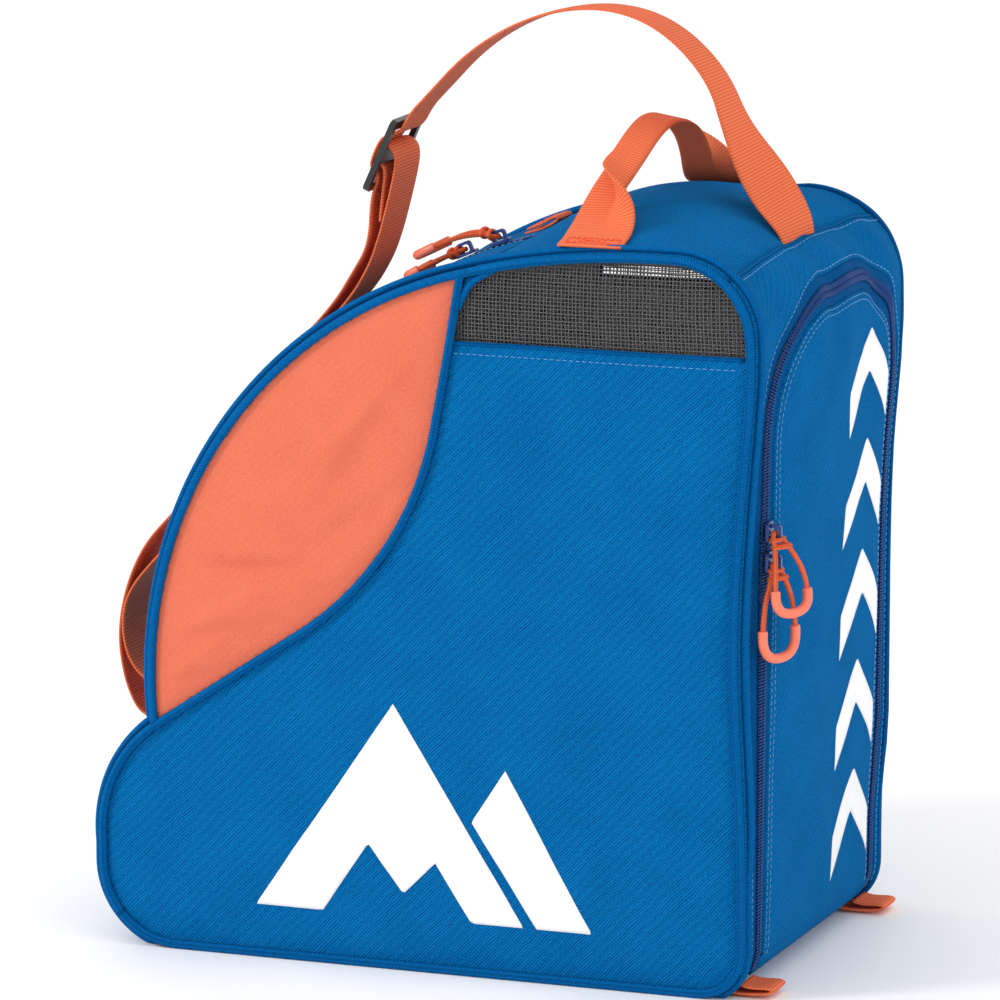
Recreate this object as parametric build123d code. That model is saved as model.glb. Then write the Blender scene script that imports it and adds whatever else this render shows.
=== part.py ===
from build123d import *
import os
from math import atan2, cos, degrees, hypot, radians, sin, tan

# Ski boot bag. Millimetres, +Z up. Toe towards -X, heel opening towards +X,
# the bag's left side towards -Y. Origin at the centre of the base.

# ---------------------------------------------------------------- driving sizes
TOE_X = -200.0
HEEL_X = 200.0
SIDE_Y = 125.0                      # plane of the side panels' outer face
SIDE_TOP_Z = 428.0                  # top edge of the side panels
CROWN_Z = 444.0                     # crown of the domed top panel
WALL = 3.0                          # padded fabric wall
SIDE_WALL = 2.8
PIPING = 5.0                        # corded seam round the side panels
GAP = 0.4                           # clearance between parts that separate
WEBBING = 38.0
WEBBING_T = 1.4

# side outline
FRONT_CENTRE = (91.0, 162.0)        # front arc, from the toe notch to the top
FRONT_R = 259.5
NOTCH = (-167.0, 134.0)             # where the front arc meets the toe
TOE_R = 49.0
BASE_HEEL_R = 28.0
TOP_HEEL_R = 46.0
TOP_SEAM_X = 34.0                   # front gusset to top panel
WINDOW_Z = 368.0                    # lower edge of the mesh window
SILL_Z = 14.0                       # lower edge of the heel opening

# heel surface at the middle of the bag, where it bulges out
HEEL_MID_LOW = (202.0, 28.0)
HEEL_MID_R = 32.0
HEEL_MID_CENTRE = (184.0, 389.0)

# zips: coil, tape and the row where the fabric starts, from the zip's line
COIL_IN = 0.2
COIL_OUT = 3.2
TAPE_OUT = 9.0
COIL_PROUD = 0.8
TAPE_DEEP = 2.2
GUSSET_Y = SIDE_Y - SIDE_WALL - GAP

# heel zip, an upside-down U
ZIP_HALF = 104.0
ZIP_TOP = 397.0
ZIP_R = 80.0

# webbing
HANDLE_X = 103.5
HANDLE_TOP = 488.0
HANDLE_GRIP = 19.0                  # width where the webbing is folded in half
HANDLE_SPLIT_Y = 73.0               # where the folded grip turns into flat ends
STRAP_T = WEBBING_T

BUCKLE_CENTRE = (-62.0, 459.0)
BUCKLE_TILT = 24.0                  # from vertical, lower end towards the toe
BUCKLE_L = 46.0
BUCKLE_W = 50.0
BUCKLE_T = 3.5
BUCKLE_BAR = 5.5
BUCKLE_MID_BAR = 9.0

RING_BAR = (-206.0, 121.0)          # outer bar of the toe ring, which the strap goes round
RING_ROOT = (-187.8, 117.2)         # inner bar, held by the toe tab
RING_WIRE = 3.6
RING_INSIDE = 42.0
TAB_W = 24.0
TAB_T = 3.4

# zip pulls
CORD_D = 2.8
GRIP_D = 5.6
GRIP_BORE = 3.4
SLIDER_L = 13.0
SLIDER_W = 10.5
SLIDER_T = 1.8
BAIL_HOLE = 4.4
BAIL_T = 1.8

os.makedirs("parts", exist_ok=True)
written = []


def save(name, shape):
    solids = shape.solids()
    part = solids[0] if len(solids) == 1 else Compound(children=list(solids))
    part.label = name
    export_step(part, "parts/" + name + ".step")
    written.append(name)


# ---------------------------------------------------------------- helpers
def on_side(face, y_low, y_high):
    """A face drawn in (x, z), made solid between two y planes."""
    solid = extrude(face, amount=y_high - y_low)
    return Pos(0, y_high, 0) * Rot(90, 0, 0) * solid


def on_heel(face, x_low, x_high):
    """A face drawn in (y, z), made solid between two x planes."""
    solid = extrude(face, amount=x_high - x_low)
    return Plane.YZ.offset(x_low).location * solid


def mirrored(shape):
    return mirror(shape, about=Plane.XZ)


def polygon(*points):
    return make_face(Polyline(*points, close=True))


def box(x_range, y_range, z_range):
    size = [high - low for low, high in (x_range, y_range, z_range)]
    centre = [(high + low) / 2 for low, high in (x_range, y_range, z_range)]
    return Pos(*centre) * Box(*size)


def on_circle(centre, radius, angle):
    return (centre[0] + radius * cos(radians(angle)), centre[1] + radius * sin(radians(angle)))


def arc(centre, radius, start, end):
    points = [on_circle(centre, radius, a) for a in (start, (start + end) / 2, end)]
    return ThreePointArc(*points)


def circle_through(a, b, c):
    """Centre and radius of the circle through three points."""
    d = 2 * (a[0] * (b[1] - c[1]) + b[0] * (c[1] - a[1]) + c[0] * (a[1] - b[1]))
    aa, bb, cc = (p[0] ** 2 + p[1] ** 2 for p in (a, b, c))
    x = (aa * (b[1] - c[1]) + bb * (c[1] - a[1]) + cc * (a[1] - b[1])) / d
    z = (aa * (c[0] - b[0]) + bb * (a[0] - c[0]) + cc * (b[0] - a[0])) / d
    return (x, z), hypot(a[0] - x, a[1] - z)


def corner_radii(points):
    """Radii of the bends of a route: 0.45 of the shorter run over tan(half turn)."""
    radii = []
    for before, at, after in zip(points, points[1:], points[2:]):
        run_in = Vector(*at) - Vector(*before)
        run_out = Vector(*after) - Vector(*at)
        half_turn = radians(run_in.get_angle(run_out)) / 2
        radii.append(0.45 * min(run_in.length, run_out.length) / tan(half_turn))
    return radii


def ribbon(points, thickness, y_low, y_high):
    """Webbing that follows a route drawn in (x, z)."""
    flat = [(x, z) for x, z in points]
    path = FilletPolyline(*flat, radius=corner_radii(flat))
    return on_side(trace(path, line_width=thickness), y_low, y_high)


# ---------------------------------------------------------------- side outline
def side_outline():
    front_top = front_arc_angle_at(TOP_SEAM_X)
    notch_angle = atan2(NOTCH[1] - FRONT_CENTRE[1], NOTCH[0] - FRONT_CENTRE[0])
    notch_angle = degrees(notch_angle) + 360
    front_start = on_circle(FRONT_CENTRE, FRONT_R, front_top)
    top_centre = (HEEL_X - TOP_HEEL_R, SIDE_TOP_Z - TOP_HEEL_R)
    heel_centre = (HEEL_X - BASE_HEEL_R, BASE_HEEL_R)
    toe_centre = (TOE_X + TOE_R, TOE_R)
    toe_high = (TOE_X, TOE_R + 11)
    front = arc(FRONT_CENTRE, FRONT_R, front_top, notch_angle)
    edges = [
        Line((toe_centre[0], 0), (heel_centre[0], 0)),
        arc(heel_centre, BASE_HEEL_R, -90, 0),
        Line((HEEL_X, BASE_HEEL_R), (HEEL_X, top_centre[1])),
        arc(top_centre, TOP_HEEL_R, 0, 90),
        ThreePointArc((top_centre[0], SIDE_TOP_Z), (92, SIDE_TOP_Z - 2.6), front_start),
        front,
        ThreePointArc(front @ 1, (-191.5, 105), toe_high),
        Line(toe_high, (TOE_X, TOE_R)),
        arc(toe_centre, TOE_R, 180, 270),
    ]
    return make_face(edges)


def front_arc_angle_at(x):
    dx = x - FRONT_CENTRE[0]
    return degrees(atan2((FRONT_R ** 2 - dx ** 2) ** 0.5, dx))


OUTLINE = side_outline()


def inset(face, distance):
    return offset(face, amount=-distance, kind=Kind.ARC)


def band(outer, inner):
    """The strip of the outline between two depths below its edge."""
    high = OUTLINE if outer == 0 else inset(OUTLINE, outer)
    return high - inset(OUTLINE, inner)


def blue_region():
    """The side behind the S-shaped seam: everything but the toe-side panel."""
    top = (27.0, 430.0)
    edges = [
        ThreePointArc(top, (17.5, 371), (8, 319)),
        ThreePointArc((8, 319), (-24, 245), (-79, 193)),
        Line((-79, 193), NOTCH),
        Polyline(NOTCH, (TOE_X - 20, NOTCH[1]), (TOE_X - 20, -20), (HEEL_X + 20, -20)),
        Polyline((HEEL_X + 20, -20), (HEEL_X + 20, 440), (27, 440), top),
    ]
    return OUTLINE & make_face(edges)


# ---------------------------------------------------------------- side panels
def side_panels():
    low, high = -SIDE_Y, -SIDE_Y + SIDE_WALL
    blue = blue_region()
    inner_blue = inset(blue, PIPING + 0.2)
    window_mask = polygon((0, WINDOW_Z), (HEEL_X, WINDOW_Z), (HEEL_X, 440), (0, 440))
    orange = inset(OUTLINE, PIPING + 0.2) - blue
    main_piping = blue - inset(blue, PIPING)
    front_piping = band(0, PIPING) - blue
    piping_low, piping_high = -SIDE_Y - 2.5, -SIDE_Y + 2.5
    return {
        "side_panel": on_side(inner_blue - window_mask, low, high),
        "mesh_window": on_side(inner_blue & window_mask, low + 0.8, high - 0.8),
        "toe_side_panel": on_side(orange, low, high),
        "side_piping": on_side(main_piping, piping_low, piping_high),
        "front_piping": on_side(front_piping, piping_low, piping_high),
    }


# ---------------------------------------------------------------- prints
PRINT_T = 0.4
CHEVRONS_Z = (40, 106, 172, 238, 304)


def peak_print():
    """Two plain mountain peaks with a zigzag snow line."""
    big = polygon((-100, 32), (-14, 158), (66, 32), (34, 32), (12, 66), (-8, 46), (-30, 74),
                  (-58, 32))
    small = polygon((34, 92), (55, 124), (108, 32), (74, 32))
    return on_side(big, -SIDE_Y - PRINT_T, -SIDE_Y) + on_side(small, -SIDE_Y - PRINT_T, -SIDE_Y)


def chevron(z):
    return polygon((12, z), (50, z + 34), (88, z), (88, z + 26), (50, z + 60), (12, z + 26))


# ---------------------------------------------------------------- gussets
def gusset_parts():
    wall = band(0, WALL)
    toe_split = TOE_X + TOE_R
    base_mask = polygon((toe_split, -9), (HEEL_X + 9, -9), (HEEL_X + 9, SILL_Z), (toe_split, SILL_Z))
    toe_mask = polygon((TOE_X - 9, -9), (toe_split - 0.2, -9), (toe_split - 0.2, NOTCH[1] - 0.2),
                       (TOE_X - 9, NOTCH[1] - 0.2))
    front_mask = polygon((TOE_X - 9, NOTCH[1]), (-60, NOTCH[1]), (TOP_SEAM_X, 380),
                         (TOP_SEAM_X, 440), (TOE_X - 9, 440))
    tape = band(0.6, TAPE_DEEP) & front_mask
    coil = (inset(OUTLINE, -COIL_PROUD) - inset(OUTLINE, TAPE_DEEP)) & front_mask
    fabric_y = TAPE_OUT + 0.2
    left = {
        "front_gusset": on_side(wall & front_mask, -GUSSET_Y, -fabric_y),
        "front_zip_tape": on_side(tape, -TAPE_OUT, -COIL_OUT - 0.2),
        "front_zip_coil": on_side(coil, -COIL_OUT, -COIL_IN),
    }
    whole = {
        "base_panel": on_side(wall & base_mask, -GUSSET_Y, GUSSET_Y),
        "toe_gusset": on_side(wall & toe_mask, -GUSSET_Y, GUSSET_Y),
    }
    return left, whole


def base_board():
    return fillet(box((-146, 166), (-117, 117), (WALL + 0.2, WALL + 2.2)).edges().filter_by(Axis.Z), 12)


# ---------------------------------------------------------------- top panel and heel
def top_section(inner, mid):
    """Outer or inner line of the top panel, from the front seam to the heel seam."""
    depth = WALL if inner else 0.0
    start = on_circle(FRONT_CENTRE, FRONT_R - depth, front_arc_angle_at(TOP_SEAM_X))
    if mid:
        centre, radius = circle_through((start[0], start[1] + depth), (108, CROWN_Z), (187, 421))
        radius -= depth
        end_angle = degrees(atan2(421 - centre[1], 187 - centre[0]))
        start_angle = degrees(atan2(start[1] + depth - centre[1], start[0] - centre[0]))
        split = end_angle + 18
        return arc(centre, radius, start_angle, split), arc(centre, radius, split, end_angle)
    centre = (HEEL_X - TOP_HEEL_R, SIDE_TOP_Z - TOP_HEEL_R)
    through = (92, SIDE_TOP_Z - 2.6 - depth)
    end = (centre[0], SIDE_TOP_Z - depth)
    return ThreePointArc(start, through, end), arc(centre, TOP_HEEL_R - depth, 90, 45)


def heel_section(depth, mid):
    """Line of the heel surface from the top seam down to the sill, at a depth."""
    if mid:
        centre, radius = HEEL_MID_CENTRE, HEEL_MID_R - depth
        low = (HEEL_MID_LOW[0] - depth, HEEL_MID_LOW[1])
        start = 84.6
    else:
        centre, radius = (HEEL_X - TOP_HEEL_R, SIDE_TOP_Z - TOP_HEEL_R), TOP_HEEL_R - depth
        low = (HEEL_X - depth, BASE_HEEL_R)
        start = 44.8
    low_centre = (low[0] + depth - BASE_HEEL_R, BASE_HEEL_R)
    corner = arc(centre, radius, start, 0)
    return corner, Line(corner @ 1, low), arc(low_centre, BASE_HEEL_R - depth, 0, -29.5)


def strip_face(outer, inner, y):
    """Closed section between two lines of matching edges, placed at a y plane."""
    first, last = Line(outer[0] @ 0, inner[0] @ 0), Line(outer[-1] @ 1, inner[-1] @ 1)
    face = make_face([*outer, last, *inner, first])
    return Pos(0, y, 0) * Rot(90, 0, 0) * face


def top_panel():
    faces = [
        strip_face(top_section(False, y == 0), top_section(True, y == 0), y)
        for y in (-GUSSET_Y, 0, GUSSET_Y)
    ]
    return loft(faces)


def heel_shell(proud, deep):
    faces = [
        strip_face(heel_section(-proud, y == 0), heel_section(deep, y == 0), y)
        for y in (-GUSSET_Y, 0, GUSSET_Y)
    ]
    return loft(faces)


def zip_u(grow, bottom=SILL_Z + GAP):
    """The heel zip's outline in (y, z), grown outwards from its centre line."""
    half, top, radius = ZIP_HALF + grow, ZIP_TOP + grow, ZIP_R + grow
    centre = (half - radius, top - radius)
    edges = [
        Line((-half, bottom), (half, bottom)),
        Line((half, bottom), (half, centre[1])),
        arc(centre, radius, 0, 90),
        Line((centre[0], top), (-centre[0], top)),
        arc((-centre[0], centre[1]), radius, 90, 180),
        Line((-half, centre[1]), (-half, bottom)),
    ]
    return make_face(edges)


def heel_parts():
    wall = heel_shell(0, WALL)
    tape = heel_shell(-0.6, TAPE_DEEP)
    coil = heel_shell(COIL_PROUD, TAPE_DEEP)
    everything = polygon((-140, 0), (140, 0), (140, 440), (-140, 440))

    def cut(shell, face):
        return shell & on_heel(face, 130, 260)

    fabric = TAPE_OUT + 0.2
    tape_in = COIL_OUT + 0.2
    return {
        "heel_frame": cut(wall, everything - zip_u(fabric, -20)),
        "heel_zip_tape_outer": cut(tape, zip_u(TAPE_OUT) - zip_u(tape_in, -20)),
        "heel_zip_coil_outer": cut(coil, zip_u(COIL_OUT) - zip_u(COIL_IN, -20)),
        "heel_zip_coil_inner": cut(coil, zip_u(-COIL_IN) - zip_u(-COIL_OUT, -20)),
        "heel_zip_tape_inner": cut(tape, zip_u(-tape_in) - zip_u(-TAPE_OUT, -20)),
        "heel_flap": cut(wall, zip_u(-fabric)),
    }


# ---------------------------------------------------------------- webbing
def across(points, thickness, x_low, x_high):
    """Webbing that follows a route drawn in (y, z)."""
    path = FilletPolyline(*points, radius=corner_radii(points))
    return on_heel(trace(path, line_width=thickness), x_low, x_high)


def grab_handle():
    """The folded grip, an arch from side to side."""
    half = [(-HANDLE_SPLIT_Y + 1, 450.5), (-55, 465), (-28, 481)]
    points = half + [(0, HANDLE_TOP - 1)] + [(-y, z) for y, z in reversed(half)]
    return across(points, 2 * WEBBING_T, HANDLE_X - HANDLE_GRIP / 2, HANDLE_X + HANDLE_GRIP / 2)


def grab_handle_end():
    """The flat end, sewn into the side seam and narrowing towards the grip."""
    points = [(-121.5, 429.4), (-100, 434.6), (-86, 439), (-HANDLE_SPLIT_Y - 1.5, 446.5)]
    flat = across(points, WEBBING_T, HANDLE_X - WEBBING / 2, HANDLE_X + WEBBING / 2)
    wide, narrow = WEBBING / 2, WEBBING / 3.2
    plan = polygon((HANDLE_X - wide, -126), (HANDLE_X + wide, -126), (HANDLE_X + wide, -100),
                   (HANDLE_X + narrow, -70), (HANDLE_X - narrow, -70), (HANDLE_X - wide, -100))
    return flat & (Pos(0, 0, 400) * extrude(plan, amount=80))


def at_buckle(s, h):
    """A point (x, z) given along and across the tri-glide buckle, from its middle."""
    tilt = radians(BUCKLE_TILT)
    return (BUCKLE_CENTRE[0] - s * sin(tilt) - h * cos(tilt),
            BUCKLE_CENTRE[1] - s * cos(tilt) + h * sin(tilt))


# from the top seam over the arch to the buckle, over its middle bar, down in front of the
# bag to the toe ring, back up inside, round the middle bar and sewn to itself
STRAP_ROUTE = [
    (183.5, 430), (170, 449), (150, 482), (139, 514), (108, 542), (72, 552), (30, 545),
    (-8, 524), (-38, 492),
    at_buckle(-30, -5), at_buckle(-16, -3.6), at_buckle(-9.5, 5.4), at_buckle(9.5, 5.4),
    at_buckle(13.5, -2.8), at_buckle(26, -2.8),
    (-71, 406), (-82, 387.5), (-95.8, 372.6), (-125, 343.3), (-154.5, 303.8), (-179.6, 260.5),
    (-198.4, 236.9), (-215.6, 216.4), (-228.2, 190), (-234, 162), (-231.3, 136), (-224, 117),
    (-216, 110), (-206, 109.5), (-197.5, 114.5), (-197.5, 127), (-207, 132.5),
    (-217, 137), (-226, 149), (-229.5, 168), (-225.5, 188), (-204.5, 213), (-188.2, 232.6),
    (-173.1, 258.1), (-149.4, 300.8), (-121.6, 340.4), (-86.2, 374.2), (-70, 393), (-64, 410),
    at_buckle(33, -16.2), at_buckle(14, -13), at_buckle(-1, -9.5), at_buckle(-6.3, -4.5),
    at_buckle(-6.3, 3.4), at_buckle(6.3, 3.4), at_buckle(6.3, -4.2), at_buckle(20, -8.4),
    at_buckle(37, -14),
]


def shoulder_strap():
    return ribbon(STRAP_ROUTE, STRAP_T, -WEBBING / 2, WEBBING / 2)


def triglide():
    plate = Box(BUCKLE_L, BUCKLE_W, BUCKLE_T)
    slot_l = (BUCKLE_L - 2 * BUCKLE_BAR - BUCKLE_MID_BAR) / 2
    slot_at = (BUCKLE_MID_BAR + slot_l) / 2
    for side in (-1, 1):
        plate -= Pos(side * slot_at, 0, 0) * Box(slot_l, WEBBING + 3, 2 * BUCKLE_T)
    corners = plate.edges().filter_by(Axis.Z).group_by(SortBy.DISTANCE)[-1]
    plate = fillet(corners, 4)
    plane = Plane(origin=(BUCKLE_CENTRE[0], 0, BUCKLE_CENTRE[1]), x_dir=at_direction(1, 0),
                  z_dir=at_direction(0, 1))
    return plane.location * plate


def at_direction(s, h):
    tilt = radians(BUCKLE_TILT)
    return (-s * sin(tilt) - h * cos(tilt), 0, -s * cos(tilt) + h * sin(tilt))


def toe_ring():
    dx, dz = RING_ROOT[0] - RING_BAR[0], RING_ROOT[1] - RING_BAR[1]
    reach = hypot(dx, dz)
    frame = Box(reach + RING_WIRE, RING_INSIDE + 2 * RING_WIRE, RING_WIRE)
    frame -= Box(reach - RING_WIRE, RING_INSIDE, 2 * RING_WIRE)
    frame = fillet(frame.edges(), RING_WIRE * 0.35)
    middle = ((RING_ROOT[0] + RING_BAR[0]) / 2, 0, (RING_ROOT[1] + RING_BAR[1]) / 2)
    plane = Plane(origin=middle, x_dir=(dx, 0, dz), z_dir=(-dz, 0, dx))
    return plane.location * frame


def toe_tab():
    """Webbing folded round the ring's inner bar and sewn to the toe gusset."""
    points = [(-190.6, 109), (-191.6, 118.6), (-186.6, 121.6), (-181.9, 117.8)]
    path = FilletPolyline(*points, radius=corner_radii(points))
    face = trace(path, line_width=WEBBING_T) - inset(OUTLINE, -0.1)
    return on_side(face, -RING_INSIDE / 2 + 4, RING_INSIDE / 2 - 4)


def zip_tab_front():
    """Folded webbing over the top end of the front zip."""
    mask = polygon((24, 380), (33.5, 380), (33.5, 440), (24, 440))
    layer = (inset(OUTLINE, -1 - TAB_T) - inset(OUTLINE, -1)) & mask
    return on_side(layer, -TAB_W / 2, TAB_W / 2)


def zip_tab_heel():
    """Folded webbing under the bottom end of the heel zip, sticking out to be held."""
    low, high = 2.2, 2.2 + 1.3 * TAB_T
    flat = polygon((184, low), (214, low), (214, high), (184, high)) - OUTLINE
    return on_side(flat, -ZIP_HALF - TAB_W / 2, -ZIP_HALF + TAB_W / 2)


# ---------------------------------------------------------------- sliders and pulls
HEEL_PLATE_X = 205.0                # inner face of the heel sliders' plates
HEEL_SLIDER_Z = {"upper": 270.0, "lower": 252.5}
FRONT_SLIDER_ANGLE = {"upper": 109.3, "lower": 114.2}


def slider():
    """A zip slider's outer half: plate with side lip, and a bail for the pull's cord.

    Drawn flat: X along the zip, Y across it, Z away from the bag, 0 at the plate's inner face.
    """
    plate = Pos(0, 0, SLIDER_T / 2) * Box(SLIDER_L, SLIDER_W, SLIDER_T)
    plate = fillet(plate.edges().filter_by(Axis.Z), 3)
    plate = fillet(plate.faces().sort_by(Axis.Z)[-1].edges(), 0.6)
    height = BAIL_HOLE + BAIL_T
    bail = Pos(0, 0, SLIDER_T + height / 2) * Box(BAIL_HOLE + 2 * BAIL_T + 1.4, 2.6, height)
    bail = fillet(bail.edges().filter_by(Axis.Y).sort_by(Axis.Z)[-2:], 2.2)
    hole = Pos(0, 0, SLIDER_T + BAIL_HOLE / 2) * Box(BAIL_HOLE + 1.4, 9, BAIL_HOLE)
    hole = fillet(hole.edges().filter_by(Axis.Y), 1.2)
    return plate + (bail - hole)


def heel_slider(z):
    plane = Plane(origin=(HEEL_PLATE_X, -ZIP_HALF, z), x_dir=(0, 0, -1), z_dir=(1, 0, 0))
    return plane.location * slider()


def front_slider(angle):
    out = (cos(radians(angle)), 0, sin(radians(angle)))
    along = (-out[2], 0, out[0])
    r = FRONT_R + COIL_PROUD + GAP
    origin = (FRONT_CENTRE[0] + r * out[0], 0, FRONT_CENTRE[1] + r * out[2])
    return Plane(origin=origin, x_dir=along, z_dir=out).location * slider()


# routes of the pulls' cords: through the bail, round the loop and back to the bail
PULL_ROUTES = {
    "heel_pull_upper": [
        (208.7, -103.7, 270), (209.2, -99.9, 268.5), (215.6, -99.6, 262), (222.8, -91.6, 246),
        (226, -91.6, 224), (213.4, -115.4, 224), (212, -111.8, 248), (210.7, -108.9, 262),
        (208.9, -108.1, 268.5), (208.7, -104.3, 270)],
    "heel_pull_lower": [
        (208.7, -103.7, 252.5), (209, -99.9, 251), (213.4, -99.4, 243.5), (217.1, -93.4, 227.5),
        (218.3, -92.1, 197.5), (205.7, -115.9, 197.5), (205.9, -114.6, 227.5),
        (208.6, -108.6, 243.5), (208.9, -108.1, 251), (208.7, -104.3, 252.5)],
    "front_pull_upper": [
        (3.6, 0.3, 411.5), (1.8, 4.1, 412.1), (-5.7, 5.4, 413.6), (-21.3, 11.5, 411.1),
        (-46.1, 13.5, 398.5), (-46.1, -13.5, 398.5), (-21.3, -11.5, 411.1), (-5.7, -5.4, 413.6),
        (1.8, -4.1, 412.1), (3.6, -0.3, 411.5)],
    "front_pull_lower": [
        (-17.4, 0.3, 403.2), (-18.8, 4.1, 402.7), (-25.8, 5.2, 399.9), (-35.7, 10.5, 395.1),
        (-51.4, 13.5, 386.2), (-51.4, -13.5, 386.2), (-35.7, -10.5, 395.1), (-25.8, -5.2, 399.9),
        (-18.8, -4.1, 402.7), (-17.4, -0.3, 403.2)],
}
GRIP_START = 0.42                   # where the grip begins on the runs beside its bend


def tube(points, radii, outer, bore=0.0):
    path = FilletPolyline(*points, radius=radii)
    start = Plane(origin=path @ 0, z_dir=path % 0)
    section = Circle(outer / 2) if not bore else Circle(outer / 2) - Circle(bore / 2)
    return sweep(start * section, path=path)


def pull_cord(points):
    return tube(points, corner_radii(points), CORD_D)


def pull_grip(points):
    """Plastic tube on the far bend of the cord, between the fourth and seventh points."""
    radii = corner_radii(points)
    before, first, last, after = points[3:7]
    start = Vector(*before) + (Vector(*first) - Vector(*before)) * GRIP_START
    end = Vector(*after) + (Vector(*last) - Vector(*after)) * GRIP_START
    route = [tuple(start), first, last, tuple(end)]
    return tube(route, radii[3:5], GRIP_D, GRIP_BORE)


def heel_print():
    """A column of plain chevrons on the heel flap."""
    shell = heel_shell(PRINT_T, 0)
    return Compound(children=[shell & on_heel(chevron(z), 190, 230) for z in CHEVRONS_Z])


if __name__ == "__main__":
    sides = side_panels()
    for name, part in sides.items():
        save(name + "_left", part)
        save(name + "_right", mirrored(part))
    left, whole = gusset_parts()
    for name, part in left.items():
        save(name + "_left", part)
        save(name + "_right", mirrored(part))
    for name, part in whole.items():
        save(name, part)
    save("base_board", base_board())
    save("top_panel", top_panel())
    for name, part in heel_parts().items():
        save(name, part)
    save("side_print_left", peak_print())
    save("side_print_right", mirrored(peak_print()))
    save("heel_print", heel_print())
    save("grab_handle", grab_handle())
    save("grab_handle_end_left", grab_handle_end())
    save("grab_handle_end_right", mirrored(grab_handle_end()))
    save("shoulder_strap", shoulder_strap())
    save("strap_buckle", triglide())
    save("toe_ring", toe_ring())
    save("toe_ring_tab", toe_tab())
    save("zip_tab_front", zip_tab_front())
    save("zip_tab_heel_left", zip_tab_heel())
    save("zip_tab_heel_right", mirrored(zip_tab_heel()))
    for place, z in HEEL_SLIDER_Z.items():
        save("heel_slider_" + place, heel_slider(z))
    for place, angle in FRONT_SLIDER_ANGLE.items():
        save("front_slider_" + place, front_slider(angle))
    for name, points in PULL_ROUTES.items():
        save(name + "_cord", pull_cord(points))
        save(name + "_grip", pull_grip(points))
        print(name, "bend radii", [round(r, 1) for r in corner_radii(points)])
    print(len(written), "nodes")
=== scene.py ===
import math
import bpy
import numpy as np
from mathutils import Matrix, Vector, noise
from mathutils.geometry import delaunay_2d_cdt


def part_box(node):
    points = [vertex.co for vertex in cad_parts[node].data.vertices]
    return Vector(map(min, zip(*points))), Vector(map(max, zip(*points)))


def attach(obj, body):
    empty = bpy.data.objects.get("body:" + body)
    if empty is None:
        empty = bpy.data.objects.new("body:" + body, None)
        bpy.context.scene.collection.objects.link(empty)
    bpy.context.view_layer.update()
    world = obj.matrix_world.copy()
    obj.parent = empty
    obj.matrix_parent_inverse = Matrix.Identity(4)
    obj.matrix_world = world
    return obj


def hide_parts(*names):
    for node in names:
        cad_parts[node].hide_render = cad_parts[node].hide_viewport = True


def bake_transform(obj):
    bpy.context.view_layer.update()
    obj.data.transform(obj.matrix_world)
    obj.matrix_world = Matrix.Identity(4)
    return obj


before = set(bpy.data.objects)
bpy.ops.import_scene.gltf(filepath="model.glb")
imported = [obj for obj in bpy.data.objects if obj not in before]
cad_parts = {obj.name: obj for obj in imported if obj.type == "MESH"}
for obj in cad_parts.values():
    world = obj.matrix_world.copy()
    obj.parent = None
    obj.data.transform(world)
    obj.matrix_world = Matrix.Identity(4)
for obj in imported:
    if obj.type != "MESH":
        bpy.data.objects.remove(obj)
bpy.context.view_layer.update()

# Everything below is worked out in millimetres, in the CAD frame, and made in metres.
MM = 0.001
SIDES = ((-1, "left"), (1, "right"))
SIDE_Y = 125.0
GUSSET_Y = 121.8
FRONT_CENTRE, FRONT_R = (91.0, 162.0), 259.5
NOTCH = (-167.0, 134.0)
TOE_CENTRE, TOE_R = (-151, 49), 49
FOOT_CENTRE, FOOT_R = (172, 28), 28
FOOT_TURN = -29.5               # the angle at which the base ends and the heel starts
SHOULDER, SHOULDER_R = (154, 382), 46
TOP_SEAM_X = 34.0
TOP_SIDE = ((34, 415.2), (92, 425.4), (154, 428))
TOP_MIDDLE = ((34, 415.2), (108, 444), (187, 421))
TOP_LENGTH = 163.0
WINDOW_Z = 368.0
SILL_Z = 14.4
ZIP_HALF, ZIP_TOP, ZIP_R = 104.0, 397.0, 80.0
GROOVE_Y = 122.8                # where the gusset's fabric runs into the side's piping
FABRIC = 9.2                    # where the fabric starts, from a zip's line
TAPE_EDGE, COIL_LINE = 3.3, 1.72        # from a zip's line too
ZIP_SINK = 0.4                  # how far a zip's line lies below the fabric's surface
PIPING_Y, PIPING_R, PIPING_INSET = 125.2, 2.5, 2.6
WEBBING = 38.0
RIB_STEP = 0.95                 # from one rib of the webbing to the next furrow
CRUMPLE_SEED = {-1: 2.3, 1: 7.9}        # of each side's fabric
CAMERA_PLACE, CAMERA_TARGET = (1.5514, -4.1342, 1.1292), (0.00404, 0.0, 0.25519)
CAMERA_LENS = 275.9


# ---------------------------------------------------------------- camera, light, floor
def look_at(obj, target):
    direction = Vector(target) - obj.location
    obj.rotation_euler = direction.to_track_quat("-Z", "Y").to_euler()


def make_camera():
    data = bpy.data.cameras.new("camera")
    data.lens, data.sensor_width = CAMERA_LENS, 36.0
    data.clip_end = 50
    camera = bpy.data.objects.new("camera", data)
    bpy.context.scene.collection.objects.link(camera)
    camera.location = CAMERA_PLACE
    look_at(camera, CAMERA_TARGET)
    bpy.context.scene.camera = camera


def area_light(name, place, size, power, target=(0, 0, 0.22)):
    data = bpy.data.lights.new(name, "AREA")
    data.shape, data.size, data.energy = "DISK", size, power
    light = bpy.data.objects.new(name, data)
    bpy.context.scene.collection.objects.link(light)
    light.location = place
    look_at(light, target)


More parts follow.
